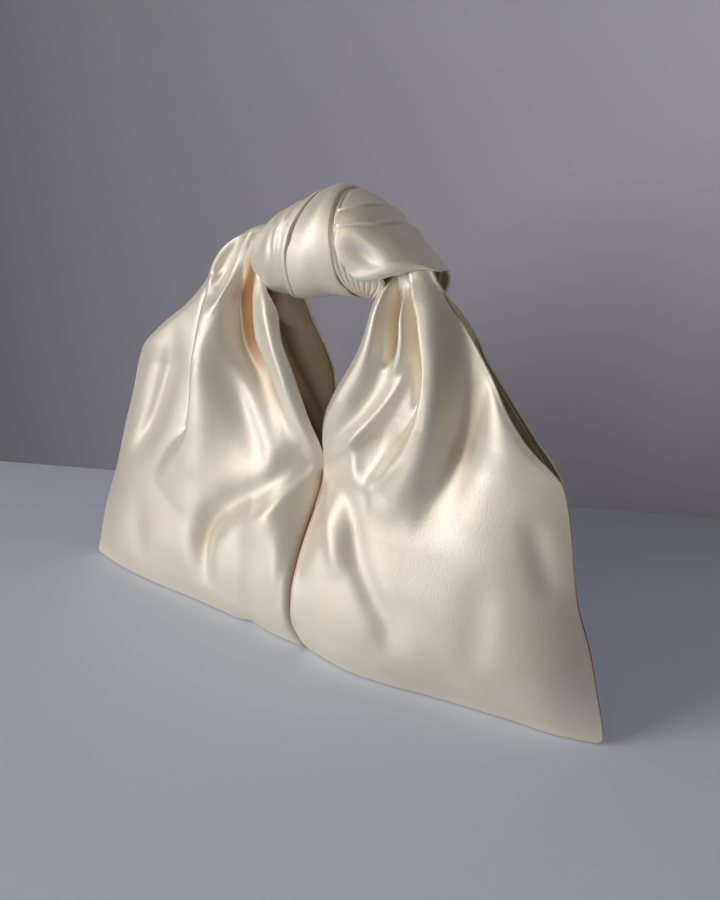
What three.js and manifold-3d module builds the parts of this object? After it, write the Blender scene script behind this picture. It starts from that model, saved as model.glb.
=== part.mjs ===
// Satin knot bag: a soft lined evening bag whose two gathered straps are tied in one knot.
// Millimetres, +Z up, the front faces -Y. The origin is the middle of the base, on the table.
// Each cloth panel is one closed solid. The back has the folds of the front's opposite side.

import * as THREE from 'three';
import { mergeVertices } from 'three/addons/utils/BufferGeometryUtils.js';
import Module from 'manifold-3d';

const wasm = await Module();
wasm.setup();

// Outline of the bag, seen from the front
const baseWidth = 336;          // bottom corner to bottom corner
const seamTopWidth = 268;       // across the tops of the two sewn side seams
const seamHeight = 132;         // top of a side seam above the table
const mouthHeight = 105;        // lowest point of the V between the straps
const loopTopWidth = 64;        // across the hand loop, just under the knot
const loopTopHeight = 200;
const strapTopWidth = 120;      // across the outer edges of both straps where they meet the knot
const strapTopHeight = 211;

// Depth of the stuffed body, front to back
const baseDepth = 38;
const bodyDepth = 70;
const fullestHeight = 36;
const mouthDepth = 41;
const shoulderDepth = 32;
const neckDepth = 24;
const seamDraw = 1.5;           // the centre seam draws each face in by this much where the body is fullest
const creaseHeight = 65;        // a middle point of the centre seam
const creaseDepth = 49;         // front to back at that point
const lipDepth = 11;            // front to back at the lowest point of the V
const loopEdgeDepth = 17;       // front to back between the loop edges of a strap, at the hinge
const creaseWidth = 36;         // the valley that the centre seam draws into the body
const slitDepth = 10;           // between the open outer edges of a strap
const slitRise = 26;            // the slit reaches its full depth this far above the side seam
const leftCornerSwing = 11.5;   // the left bottom corner lies this far in front of the middle
const rightCornerSwing = 4.5;   // and the right one this far behind it
const swingStart = 88;          // the base runs straight this far from the middle
const swingEnd = 150;

// Cloth
const shellThickness = 0.9;
const liningThickness = 0.7;
const layerGap = 1;             // between shell and lining
const liningDrop = 1.2;         // the lining's upper edge is this much lower than the shell's
const seamGap = 0.3;            // between two pieces that touch
const sideSeamInset = 3;
const seamAllowance = 4;
const seamThickness = 1;
const centreSeamThickness = 0.4;
const baseLiningInset = 10;     // from a bottom corner to the tip of the base lining

// Magnetic snap, sewn to the two linings under the V
const snapHeight = 95;
const snapRadius = 7;
const snapThickness = 2.2;
const snapPinRadius = 2.2;
const snapPinLength = 1.2;
const snapPinClearance = 0.5;
const snapHoleDepth = 1.6;

// Neck, where the straps bend when the knot tips over
const hingeHeight = 178;
const hingeTravel = 20;         // degrees that the knot tips either way
const gatherThickness = 8;
const gatherFoot = 30;          // how far the gathered pleats reach below the hinge
const gatherFlare = 8;          // the height over which they fill the strap, and then narrow again
const gatherInnerInset = 13;    // from the loop side of the strap
const gatherOuterInset = 14;    // from the open side of the strap

// Knot
const knotHeight = 221;
const knotDiameter = 56;
const knotSetback = 5;          // the knot's middle lies this far behind the straps
const tailDiameter = 26;        // a strap drawn tight inside the knot
const tailFootInset = 2;        // the tail's foot is this much thinner than the neck, on each face
const tailReach = 24;           // from the middle to where the tail turns down
const firstTurnWidth = 21;
const secondTurnWidth = 23;
const pleatCount = 3;
const pleatWidth = 2.4;
const pleatDepth = 1.6;
const rightWrapWidth = 51;
const wrapEdgeStep = 1.8;       // each turn of cloth lies this much lower than the next

// Facets
const panelColumns = 18;
const panelRows = 12;
const strapColumns = 14;
const strapRows = 8;
const gatherColumns = 8;
const seamColumns = 2;          // wall columns under each half of the centre seam's allowance
const roundSides = 20;
const ringSides = 40;

const satin = { color: 0xf0e4cc, roughness: 0.38, metalness: 0 };
const liningSatin = { color: 0xdcc4a0, roughness: 0.45, metalness: 0 };
const steel = { color: 0xc9c6c0, roughness: 0.3, metalness: 1 };

const neckClearance = clearanceForTilt();
const strapTop = hingeHeight - neckClearance;
const tailFoot = hingeHeight + neckClearance;
const knotRadius = knotDiameter / 2;

// A smooth curve through stations [height, value]; it has no overshoot between falling stations.
function through(stations, height) {
  const last = stations.length - 1;
  const z = Math.min(Math.max(height, stations[0][0]), stations[last][0]);
  let i = 0;
  while (i < last - 1 && z > stations[i + 1][0]) i += 1;
  const slope = (a, b) => (stations[b][1] - stations[a][1]) / (stations[b][0] - stations[a][0]);
  const tangent = (k) => {
    if (k === 0 || k === last) return 0;
    const before = slope(k - 1, k);
    const after = slope(k, k + 1);
    return before * after <= 0 ? 0 : (2 * before * after) / (before + after);
  };
  const span = stations[i + 1][0] - stations[i][0];
  const t = (z - stations[i][0]) / span;
  const t2 = t * t;
  const t3 = t2 * t;
  return (2 * t3 - 3 * t2 + 1) * stations[i][1] + (t3 - 2 * t2 + t) * span * tangent(i)
    + (3 * t2 - 2 * t3) * stations[i + 1][1] + (t3 - t2) * span * tangent(i + 1);
}

// The gap that a strap edge needs above and below the hinge so that it clears at full tilt.
function clearanceForTilt() {
  const tilt = THREE.MathUtils.degToRad(hingeTravel);
  return (neckDepth / 2) * Math.sin(tilt) / (1 + Math.cos(tilt)) + seamGap;
}

function outerX(z) {
  if (z <= seamHeight) return THREE.MathUtils.lerp(baseWidth / 2, seamTopWidth / 2, z / seamHeight);
  const rise = (z - seamHeight) / (strapTopHeight - seamHeight);
  return THREE.MathUtils.lerp(seamTopWidth / 2, strapTopWidth / 2, rise);
}

function innerX(z) {
  const rise = Math.max(0, z - mouthHeight) / (loopTopHeight - mouthHeight);
  return seamGap / 2 + rise * (loopTopWidth / 2);
}

// Half the body's depth at a point of the outline: full lobes, closed sides and a drawn-in centre seam.
function halfDepth(x, z) {
  const fullness = 2.4;
  const creasePower = 4;
  const sewnEdge = shellThickness + seamGap / 2;
  const edge = through([[seamHeight, sewnEdge], [seamHeight + slitRise, slitDepth / 2]], z);
  const full = through([[0, baseDepth / 2], [fullestHeight, bodyDepth / 2], [mouthHeight, mouthDepth / 2],
    [seamHeight, shoulderDepth / 2], [hingeHeight, neckDepth / 2]], z);
  const snapped = seamGap / 2 + snapThickness + seamGap + liningThickness + layerGap + shellThickness;
  const drawn = through([[0, baseDepth / 2 - seamGap], [fullestHeight, bodyDepth / 2 - seamDraw],
    [creaseHeight, creaseDepth / 2], [snapHeight, snapped], [mouthHeight, lipDepth / 2],
    [hingeHeight, loopEdgeDepth / 2]], z);
  const across = Math.min(1, Math.abs(x) / outerX(z));
  const valley = Math.exp(-((Math.abs(x) / (creaseWidth / 2)) ** creasePower));
  return edge + (full - edge) * (1 - across ** fullness) - (full - drawn) * valley;
}

// The main folds that the knot draws into the cloth. A point of a path is given by its shares of the
// outline's half width and of the strap's top height, and its third number is the fold's height as a share
// of the body's half depth. The reach is a share of the half depth too.
const leftFoldShares = [
  // the long tube from the shoulder
  { reach: 0.34, path: [[0.77, 0.84, 0.14], [0.66, 0.77, 0.24], [0.53, 0.63, 0.26], [0.51, 0.51, 0.2],
    [0.56, 0.4, 0.1], [0.6, 0.3, 0]] },
  // the valley under the knot, which opens out towards the mouth
  { reach: 0.22, path: [[0.5, 0.84, -0.11], [0.44, 0.77, -0.12], [0.3, 0.69, -0.13], [0.2, 0.61, -0.12],
    [0.13, 0.53, 0]] },
  // the inner fold that runs down to the mouth
  { reach: 0.18, path: [[0.28, 0.84, 0.12], [0.21, 0.79, 0.18], [0.12, 0.71, 0.17], [0.05, 0.62, 0.12],
    [0.02, 0.55, 0]] },
  // the crescent hollow low on the left and the soft ridge beside it
  { reach: 0.32, path: [[0.17, 0.4, 0], [0.26, 0.35, -0.13], [0.34, 0.3, -0.19], [0.39, 0.22, -0.18],
    [0.4, 0.1, 0]] },
  { reach: 0.24, path: [[0.23, 0.3, 0], [0.29, 0.25, 0.1], [0.32, 0.19, 0.1], [0.32, 0.12, 0]] },
];
const rightFoldShares = [
  // the inner tube
  { reach: 0.2, path: [[0.36, 0.84, 0.14], [0.22, 0.74, 0.18], [0.1, 0.65, 0.14], [0.04, 0.56, 0]] },
  // the long outer tube
  { reach: 0.34, path: [[0.76, 0.84, 0.14], [0.69, 0.77, 0.26], [0.58, 0.69, 0.28], [0.48, 0.61, 0.2],
    [0.36, 0.52, 0]] },
  // the broad hollow on its right
  { reach: 0.26, path: [[0.95, 0.84, 0], [0.87, 0.77, -0.08], [0.73, 0.68, -0.12], [0.65, 0.58, -0.08],
    [0.63, 0.5, 0]] },
  // the diagonal ridge, drawn up from the snap, and the bowl beside it
  { reach: 0.14, path: [[0.02, 0.53, 0], [0.15, 0.59, 0.11], [0.3, 0.67, 0.13], [0.47, 0.77, 0.11]] },
  { reach: 0.2, path: [[0.42, 0.71, 0], [0.33, 0.64, -0.13], [0.29, 0.57, 0]] },
  // the leaf-shaped pull beside the seam
  { reach: 0.24, path: [[0.17, 0.48, 0], [0.27, 0.35, -0.1], [0.33, 0.28, -0.11], [0.38, 0.21, -0.1],
    [0.39, 0.11, 0]] },
];

// The height of the folds at a point of one quarter of the bag. The back has the opposite side's folds.
function foldHeight(side, face, x, z) {
  const folds = side * face > 0 ? leftFoldShares : rightFoldShares;
  const halfBody = bodyDepth / 2;
  let height = 0;
  for (const { reach, path } of folds) {
    const places = path.map(([across, up, lift]) => {
      const placeZ = up * strapTopHeight;
      return { x: across * outerX(placeZ), z: placeZ, lift: lift * halfBody };
    });
    let nearest = { distance: Infinity, lift: 0 };
    for (let i = 0; i < places.length - 1; i += 1) {
      const [a, b] = [places[i], places[i + 1]];
      const run = new THREE.Vector2(b.x - a.x, b.z - a.z);
      const from = new THREE.Vector2(x - a.x, z - a.z);
      const t = THREE.MathUtils.clamp(from.dot(run) / run.lengthSq(), 0, 1);
      const distance = from.distanceTo(run.clone().multiplyScalar(t));
      if (distance < nearest.distance) nearest = { distance, lift: THREE.MathUtils.lerp(a.lift, b.lift, t) };
    }
    const away = Math.min(1, nearest.distance / (reach * halfBody));
    height += nearest.lift * (1 - away * away) ** 2;
  }
  return height;
}

function faceDepth(side, face, x, z) {
  return halfDepth(x, z) + foldHeight(side, face, x, z);
}

// The line midway between front and back. Low down its ends swing, so the base is slightly S-shaped.
function middleY(side, x, z) {
  const swing = side < 0 ? -leftCornerSwing : rightCornerSwing;
  const share = THREE.MathUtils.clamp((x - swingStart) / (swingEnd - swingStart), 0, 1);
  return swing * Math.sin((share * Math.PI) / 2) * Math.max(0, 1 - z / seamHeight);
}

// Closed geometry from merged corner points, turned so that its faces point out.
function closedGeometry(points, triangles) {
  let volume = 0;
  for (const [a, b, c] of triangles) volume += points[a].dot(points[b].clone().cross(points[c]));
  const faces = volume < 0 ? triangles.map(([a, b, c]) => [a, c, b]) : triangles;
  const geometry = new THREE.BufferGeometry();
  geometry.setAttribute('position', new THREE.Float32BufferAttribute(points.flatMap((p) => p.toArray()), 3));
  geometry.setIndex(faces.flat());
  geometry.computeVertexNormals();
  return geometry;
}

// A cloth sheet with two faces: outer(u, v) and inner(u, v) are its corner points, u and v run from 0 to 1.
function sheetGeometry(outer, inner, columns, rows) {
  const points = [];
  const triangles = [];
  const stride = rows + 1;
  const count = (columns + 1) * stride;
  for (const face of [outer, inner]) {
    for (let i = 0; i <= columns; i += 1) {
      for (let j = 0; j <= rows; j += 1) points.push(face(i / columns, j / rows));
    }
  }
  const quad = (a, b, c, d) => triangles.push([a, b, c], [a, c, d]);
  for (let i = 0; i < columns; i += 1) {
    for (let j = 0; j < rows; j += 1) {
      const a = i * stride + j;
      quad(a, a + stride, a + stride + 1, a + 1);
      quad(count + a, count + a + 1, count + a + stride + 1, count + a + stride);
    }
  }
  const rim = [];
  for (let i = 0; i < columns; i += 1) rim.push(i * stride);
  for (let j = 0; j < rows; j += 1) rim.push(columns * stride + j);
  for (let i = columns; i > 0; i -= 1) rim.push(i * stride + rows);
  for (let j = rows; j > 0; j -= 1) rim.push(j);
  rim.forEach((a, k) => {
    const b = rim[(k + 1) % rim.length];
    quad(b, a, count + a, count + b);
  });
  return closedGeometry(points, triangles);
}

// A solid through rings of points, closed by a fan at each end.
function loftGeometry(rings) {
  const sides = rings[0].length;
  const points = rings.flat();
  const triangles = [];
  for (let r = 0; r < rings.length - 1; r += 1) {
    for (let s = 0; s < sides; s += 1) {
      const a = r * sides + s;
      const b = r * sides + ((s + 1) % sides);
      triangles.push([a, b, b + sides], [a, b + sides, a + sides]);
    }
  }
  const lastRing = (rings.length - 1) * sides;
  for (let s = 1; s < sides - 1; s += 1) {
    triangles.push([0, s + 1, s], [lastRing, lastRing + s, lastRing + s + 1]);
  }
  return closedGeometry(points, triangles);
}

function toSolid(geometry) {
  const bare = geometry.clone();
  bare.deleteAttribute('normal');
  bare.deleteAttribute('uv');
  const merged = mergeVertices(bare);
  return new wasm.Manifold(new wasm.Mesh({
    numProp: 3,
    vertProperties: Float32Array.from(merged.attributes.position.array),
    triVerts: Uint32Array.from(merged.index.array),
  }));
}

function toGeometry(solid) {
  const mesh = solid.getMesh();
  const geometry = new THREE.BufferGeometry();
  geometry.setAttribute('position', new THREE.Float32BufferAttribute(mesh.vertProperties, 3));
  geometry.setIndex(Array.from(mesh.triVerts));
  geometry.computeVertexNormals();
  return geometry;
}

function named(name, geometry, finish) {
  const mesh = new THREE.Mesh(geometry, new THREE.MeshStandardMaterial(finish));
  mesh.name = name;
  return mesh;
}

const bag = new THREE.Group();

// Cloth walls. side is -1 for left and 1 for right, face is -1 for front and 1 for back.

// The wall's upper edge is a straight line from the side seam down to the V; share is 1 in the middle.
function wallEdge(share) {
  const x = THREE.MathUtils.lerp(seamTopWidth / 2, seamGap / 2, share);
  const z = THREE.MathUtils.lerp(seamHeight, mouthHeight, share);
  return { x, z };
}

// Columns crowd towards the middle, where the centre seam's valley is.
function crowded(share) {
  const crowding = 1.6;
  return 1 - (1 - share) ** crowding;
}

// Every cloth layer of a wall shares its grid lines. The lining stops a little short of the base and the top.
function wallPoint(side, face, offset, bottom, u, v) {
  const share = crowded(u);
  const top = wallEdge(share);
  const highest = offset > shellThickness ? top.z - liningDrop : top.z;
  const z = THREE.MathUtils.clamp(v * top.z, bottom, highest);
  const x = THREE.MathUtils.lerp(THREE.MathUtils.lerp(baseWidth / 2, seamGap / 2, share), top.x, z / top.z);
  return new THREE.Vector3(side * x, middleY(side, x, z) + face * (faceDepth(side, face, x, z) - offset), z);
}

function wall(side, face, offset, thickness, bottom, skippedColumns) {
  const columns = panelColumns - skippedColumns;
  const across = (u) => (skippedColumns + u * columns) / panelColumns;
  return sheetGeometry(
    (u, v) => wallPoint(side, face, offset, bottom, across(u), v),
    (u, v) => wallPoint(side, face, offset + thickness, bottom, across(u), v),
    columns,
    panelRows,
  );
}

function strapPoint(side, face, offset, u, v) {
  const foot = wallEdge(u);
  const z = THREE.MathUtils.lerp(foot.z + seamGap, strapTop, v);
  const x = THREE.MathUtils.lerp(foot.x, THREE.MathUtils.lerp(outerX(strapTop), innerX(strapTop), u), v);
  return new THREE.Vector3(side * x, middleY(side, x, z) + face * (faceDepth(side, face, x, z) - offset), z);
}

function strap(side, face, offset, thickness, skippedColumns) {
  const columns = strapColumns - 2 * skippedColumns;
  const across = (u) => (skippedColumns + u * columns) / strapColumns;
  return sheetGeometry(
    (u, v) => strapPoint(side, face, offset, across(u), v),
    (u, v) => strapPoint(side, face, offset + thickness, across(u), v),
    columns,
    strapRows,
  );
}

// A flat half of the lens-shaped base, from the middle to a bottom corner, on the grid lines of the walls.
function basePlate(side, bottom, thickness, wallInset, tipInset) {
  const across = (u, v, z) => {
    const wallX = THREE.MathUtils.lerp(baseWidth / 2, seamGap / 2, crowded(1 - u));
    const x = Math.min(wallX, baseWidth / 2 - tipInset);
    const y = middleY(side, x, 0) + (2 * v - 1) * (halfDepth(x, 0) - wallInset);
    return new THREE.Vector3(side * x, y, z);
  };
  return sheetGeometry(
    (u, v) => across(u, v, bottom),
    (u, v) => across(u, v, bottom + thickness),
    panelColumns,
    2,
  );
}

// The seam allowance inside a side seam: a flat strip from the table to the seam's top.
function sideSeam(side) {
  const at = (u, v, y) => {
    const z = THREE.MathUtils.lerp(seamGap, seamHeight, v);
    const x = outerX(z) - sideSeamInset - u * seamAllowance;
    return new THREE.Vector3(side * x, middleY(side, x, z) + y, z);
  };
  const half = seamThickness / 2;
  return sheetGeometry((u, v) => at(u, v, -half), (u, v) => at(u, v, half), 1, panelRows);
}

// The centre seam's allowance, pressed open between shell and lining and a few wall columns wide each way.
function centreSeam(face) {
  const outer = shellThickness + (layerGap - centreSeamThickness) / 2;
  const inner = outer + centreSeamThickness;
  const rows = Math.floor((panelRows * (snapHeight - snapRadius)) / mouthHeight);
  const half = Array.from({ length: seamColumns + 1 }, (_, i) => 1 - i / panelColumns);
  const columns = [...half.map((column) => [-1, column]).reverse(), ...half.map((column) => [1, column])];
  const last = columns.length - 1;
  const at = (u, v, offset) => {
    const [side, column] = columns[Math.round(u * last)];
    return wallPoint(side, face, offset, liningFoot, column, (v * rows) / panelRows);
  };
  return sheetGeometry((u, v) => at(u, v, outer), (u, v) => at(u, v, inner), last, rows);
}

const liningOffset = shellThickness + layerGap;
const liningFoot = shellThickness + 2 * seamGap;
const clothDepth = liningOffset + liningThickness;

for (const [sideName, side] of [['left', -1], ['right', 1]]) {
  for (const [faceName, face] of [['front', -1], ['back', 1]]) {
    bag.add(
      named(`${faceName}_${sideName}_shell`, wall(side, face, 0, shellThickness, 0, 0), satin),
      named(`${faceName}_${sideName}_lining`,
        wall(side, face, liningOffset, liningThickness, liningFoot, 1), liningSatin),
      named(`${faceName}_${sideName}_strap`, strap(side, face, 0, shellThickness, 0), satin),
      named(`${faceName}_${sideName}_strap_lining`,
        strap(side, face, liningOffset, liningThickness, 1), liningSatin),
    );
  }
  const tip = seamAllowance + 2 * sideSeamInset;
  bag.add(
    named(`${sideName}_base_fold`, basePlate(side, 0, shellThickness, shellThickness + seamGap, tip), satin),
    named(`${sideName}_base_lining`,
      basePlate(side, liningFoot, liningThickness, clothDepth + seamGap, baseLiningInset), liningSatin),
    named(`${sideName}_side_seam`, sideSeam(side), satin),
  );
}
bag.add(named('front_centre_seam', centreSeam(-1), satin), named('back_centre_seam', centreSeam(1), satin));

// Magnetic snap

// A round plate about +Y, from its middle.
function disc(radius, thickness) {
  const profile = [[0, 0], [radius, 0], [radius, thickness], [0, thickness]];
  return new THREE.LatheGeometry(profile.map(([r, y]) => new THREE.Vector2(r, y)), roundSides);
}

function snapHalf(name, geometry, face, backFromMiddle) {
  const mesh = named(name, geometry, steel);
  mesh.position.set(0, face * backFromMiddle, snapHeight);
  if (face > 0) mesh.rotation.x = Math.PI;
  return mesh;
}

const snapBack = seamGap / 2 + snapThickness;
const studPlate = toSolid(disc(snapRadius, snapThickness));
const pin = toSolid(disc(snapPinRadius, snapPinLength + seamGap).translate(0, snapThickness - seamGap, 0));
const pinHole = disc(snapPinRadius + snapPinClearance, snapThickness);
pinHole.translate(0, snapThickness - snapHoleDepth, 0);
bag.add(
  snapHalf('snap_stud', toGeometry(studPlate.add(pin)), -1, snapBack),
  snapHalf('snap_socket', toGeometry(studPlate.subtract(toSolid(pinHole))), 1, snapBack),
);

// Neck: the inner pleats of each strap. They fill the strap at the foot and are drawn together above it
// into a round edge, and the knot tips on that edge. Between two columns they stay inside the strap's folds.
function neckGather(side) {
  const half = gatherThickness / 2;
  const foot = hingeHeight - gatherFoot;
  const flareTop = foot + gatherFlare;
  const inner = innerX(hingeHeight) + gatherInnerInset;
  const outer = outerX(hingeHeight) - gatherOuterInset;
  const rings = [];
  const step = (outer - inner) / gatherColumns;
  const nearShares = [-1, -0.5, 0, 0.5, 1];
  for (let i = 0; i <= gatherColumns; i += 1) {
    const x = inner + i * step;
    const room = (face, z) => Math.min(...nearShares.flatMap((across) => nearShares.map((up) => (
      faceDepth(side, face, x + across * step, z + up * gatherFlare / 2))))) - clothDepth - 2 * seamGap;
    const profile = [[0, foot], [room(1, foot), foot], [room(1, flareTop), flareTop],
      [half, flareTop + gatherFlare]];
    for (let s = 0; s <= roundSides / 2; s += 1) {
      const angle = (2 * Math.PI * s) / roundSides;
      profile.push([half * Math.cos(angle), hingeHeight + half * Math.sin(angle)]);
    }
    profile.push([-half, flareTop + gatherFlare], [-room(-1, flareTop), flareTop], [-room(-1, foot), foot]);
    rings.push(profile.map(([y, z]) => new THREE.Vector3(side * x, y, z)));
  }
  return named(side < 0 ? 'left_neck_gather' : 'right_neck_gather', loftGeometry(rings), liningSatin);
}

bag.add(neckGather(-1), neckGather(1));

// Knot: each strap's tail rises from the neck, turns in and runs through the wrapped turns.

// The way from the tail's foot up to its level run, as shares of the run across, the rise, the change
// in width, the change in depth and the quarter turn of the width.
const tailShares = [
  { run: 0, rise: 0, width: 0, depth: 0, lean: 0 },
  { run: 0.14, rise: 0.3, width: 0.58, depth: 0.5, lean: 0.2 },
  { run: 0.5, rise: 0.64, width: 0.92, depth: 0.85, lean: 0.55 },
  { run: 0.8, rise: 0.88, width: 1, depth: 1, lean: 0.8 },
  { run: 1, rise: 1, width: 1, depth: 1, lean: 1 },
];

function tailStation({ run, rise, width, depth, lean }) {
  const outer = outerX(tailFoot);
  const inner = innerX(tailFoot);
  return {
    x: THREE.MathUtils.lerp((outer + inner) / 2, tailReach, run),
    y: knotSetback * rise,
    z: THREE.MathUtils.lerp(tailFoot, knotHeight, rise),
    wide: THREE.MathUtils.lerp((outer - inner) / 2, tailDiameter / 2, width),
    deep: THREE.MathUtils.lerp(neckDepth / 2 - tailFootInset, tailDiameter / 2, depth),
    lean: (lean * Math.PI) / 2,
  };
}

// The tail's solid, or with a positive grow the space that clears it by that much all round.
function tailGeometry(side, grow) {
  const stations = tailShares.map(tailStation);
  const level = stations[stations.length - 1];
  stations.push({ ...level, x: seamGap / 2 - grow });
  stations[0].z -= grow;
  const rings = stations.map((station) => Array.from({ length: roundSides }, (_, s) => {
    const turn = (2 * Math.PI * s) / roundSides;
    const across = (station.wide + grow) * Math.cos(turn);
    const x = station.x + across * Math.cos(station.lean);
    const y = station.y + (station.deep + grow) * Math.sin(turn);
    return new THREE.Vector3(side * x, y, station.z + across * Math.sin(station.lean));
  }));
  return loftGeometry(rings);
}

function tail(side) {
  const grooveRadius = gatherThickness / 2 + seamGap;
  const groove = new THREE.CylinderGeometry(grooveRadius, grooveRadius, baseWidth, roundSides);
  groove.rotateZ(Math.PI / 2).translate(0, 0, hingeHeight);
  return toGeometry(toSolid(tailGeometry(side, 0)).subtract(toSolid(groove)));
}

bag.add(named('left_tail', tail(-1), satin), named('right_tail', tail(1), satin));

// The outer form of the knot along X. along is a share of the knot's diameter from its middle, top and foot
// are shares of its radius above and below the height of the tails.
const knotFormShares = [
  { along: -0.89, top: -0.18, foot: -0.96 },
  { along: -0.79, top: 0.05, foot: -1.16 },
  { along: -0.63, top: 0.37, foot: -1.2 },
  { along: -0.48, top: 0.58, foot: -1.085 },
  { along: -0.27, top: 0.79, foot: -1.045 },
  { along: -0.07, top: 0.95, foot: -1.025 },
  { along: 0.07, top: 1, foot: -1 },
  { along: 0.32, top: 0.89, foot: -0.91 },
  { along: 0.61, top: 0.57, foot: -0.91 },
  { along: 0.89, top: 0.18, foot: -0.89 },
  { along: 1, top: -0.04, foot: -0.7 },
];

function knotForm(x) {
  const value = (key) => (
    knotRadius * through(knotFormShares.map((at) => [at.along * knotDiameter, at[key]]), x));
  const top = value('top');
  const foot = value('foot');
  return { middle: knotHeight + (top + foot) / 2, radius: (top - foot) / 2 };
}

// A turn of cloth around the tails, from its stations [along, how far it lies under the knot's outer form].
// It is cut clear of both tails.
function turn(name, stations) {
  const rings = stations.map(([along, lower]) => {
    const { middle, radius } = knotForm(along);
    return Array.from({ length: ringSides }, (_, s) => {
      const angle = (2 * Math.PI * s) / ringSides;
      const out = radius - lower;
      return new THREE.Vector3(along, knotSetback + out * Math.cos(angle), middle + out * Math.sin(angle));
    });
  });
  const left = toSolid(tailGeometry(-1, seamGap));
  const right = toSolid(tailGeometry(1, seamGap));
  return named(name, toGeometry(toSolid(loftGeometry(rings)).subtract(left).subtract(right)), satin);
}

const pleatsWidth = pleatCount * pleatWidth;
const secondTurnEnd = -pleatsWidth / 2 - seamGap;
const secondTurnStart = secondTurnEnd - secondTurnWidth;
const firstTurnEnd = secondTurnStart - seamGap;
const firstTurnStart = firstTurnEnd - firstTurnWidth;
const rightWrapStart = pleatsWidth / 2 + seamGap;

// Stations of a turn at even steps. Its first or last edge can be rolled in.
function turnStations(start, width, startRoll, endRoll) {
  const steps = 5;
  return Array.from({ length: steps + 1 }, (_, i) => {
    const lower = i === 0 ? startRoll : i === steps ? endRoll : 0;
    return [start + (i * width) / steps, lower];
  });
}

function pleatStations() {
  return Array.from({ length: 2 * pleatCount + 1 }, (_, k) => (
    [-pleatsWidth / 2 + (k * pleatWidth) / 2, k % 2 ? 0 : pleatDepth]));
}

bag.add(
  turn('knot_first_turn', turnStations(firstTurnStart, firstTurnWidth, 2 * wrapEdgeStep, wrapEdgeStep / 2)),
  turn('knot_second_turn', turnStations(secondTurnStart, secondTurnWidth, 0, wrapEdgeStep / 2)),
  turn('knot_centre_pleats', pleatStations()),
  turn('knot_right_wrap', turnStations(rightWrapStart, rightWrapWidth, wrapEdgeStep / 2, 2 * wrapEdgeStep)),
);

export default bag;
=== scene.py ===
"""The looks of a satin knot bag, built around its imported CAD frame.

The bag is cut from four quarters of doubled cloth: a front and a back on the left and the right.
Each quarter is laid out on a grid that runs from its outer edge to its inner edge and from the
base to the neck, is bowed out like a pillow, and then takes its folds from lists of strokes.
A stroke is a line over the front of the bag with a height and two widths. The knot is a set of
wraps and pleats laid round one rounded form. All lengths inside the shape code are in millimetres,
and each mesh is written in metres, in the frame of the CAD model.
"""

import math

import bpy
import numpy as np
from mathutils import Matrix, Vector


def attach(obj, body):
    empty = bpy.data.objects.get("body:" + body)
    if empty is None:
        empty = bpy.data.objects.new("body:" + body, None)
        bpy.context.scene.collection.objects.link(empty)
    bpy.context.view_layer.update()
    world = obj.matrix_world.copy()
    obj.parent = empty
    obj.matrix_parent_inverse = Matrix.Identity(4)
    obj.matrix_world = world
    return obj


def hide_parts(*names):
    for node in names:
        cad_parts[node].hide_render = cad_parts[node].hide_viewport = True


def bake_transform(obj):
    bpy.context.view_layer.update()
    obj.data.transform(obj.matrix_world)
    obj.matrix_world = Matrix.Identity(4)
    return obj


bl_info = {
    "name": "Satin knot bag",
    "version": (1, 0, 0),
    "blender": (4, 5, 0),
    "location": "3D View > Sidebar > Knot Bag",
    "description": "Builds a satin bag with a knotted handle around its frame",
    "category": "Object",
}

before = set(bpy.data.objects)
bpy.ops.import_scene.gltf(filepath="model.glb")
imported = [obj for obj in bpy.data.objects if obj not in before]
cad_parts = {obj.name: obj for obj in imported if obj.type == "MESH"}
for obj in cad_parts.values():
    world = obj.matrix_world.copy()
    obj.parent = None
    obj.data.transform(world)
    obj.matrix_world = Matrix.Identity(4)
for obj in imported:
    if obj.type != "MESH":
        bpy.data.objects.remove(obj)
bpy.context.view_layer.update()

MM = 0.001
LEFT, RIGHT = -1, 1
FRONT, BACK = -1, 1


# Curves and numbers


def smooth_values(knots, at):
    """A smooth line through (place, value) knots that never overshoots them, read at the places."""
    x = np.array([k[0] for k in knots], float)
    y = np.array([k[1] for k in knots], float)
    step = np.diff(x)
    rise = np.diff(y) / step
    slope = np.zeros(len(x))
    slope[0], slope[-1] = rise[0], rise[-1]
    for i in range(1, len(x) - 1):
        if rise[i - 1] * rise[i] > 0:
            a, b = 2 * step[i] + step[i - 1], step[i] + 2 * step[i - 1]
            slope[i] = (a + b) / (a / rise[i - 1] + b / rise[i])
    at = np.clip(np.asarray(at, float), x[0], x[-1])
    i = np.clip(np.searchsorted(x, at, side="right") - 1, 0, len(x) - 2)
    t = (at - x[i]) / step[i]
    return (
        y[i] * (1 + 2 * t) * (1 - t) ** 2
        + slope[i] * step[i] * t * (1 - t) ** 2
        + y[i + 1] * t**2 * (3 - 2 * t)
        + slope[i + 1] * step[i] * t**2 * (t - 1)
    )


def smooth_line(points, count):
    """count points on a rounded line through the points, and how far along it each of them is."""
    p = np.array(points, float)
    along = np.concatenate([[0], np.cumsum(np.linalg.norm(np.diff(p, axis=0), axis=1))])
    ends = np.vstack([2 * p[0] - p[1], p, 2 * p[-1] - p[-2]])
    at = np.linspace(0, along[-1], count)
    i = np.clip(np.searchsorted(along, at, side="right") - 1, 0, len(p) - 2)
    t = ((at - along[i]) / (along[i + 1] - along[i]))[:, None]
    a, b, c, d = ends[i], ends[i + 1], ends[i + 2], ends[i + 3]
    out = 0.5 * (
        2 * b + (c - a) * t + (2 * a - 5 * b + 4 * c - d) * t**2 + (3 * b - a - 3 * c + d) * t**3
    )
    return out, at / along[-1]


def soft_step(low, high, x):
    t = np.clip((np.asarray(x, float) - low) / (high - low), 0, 1)
    return t * t * (3 - 2 * t)


def mix(a, b, t):
    return a + (b - a) * t


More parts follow.
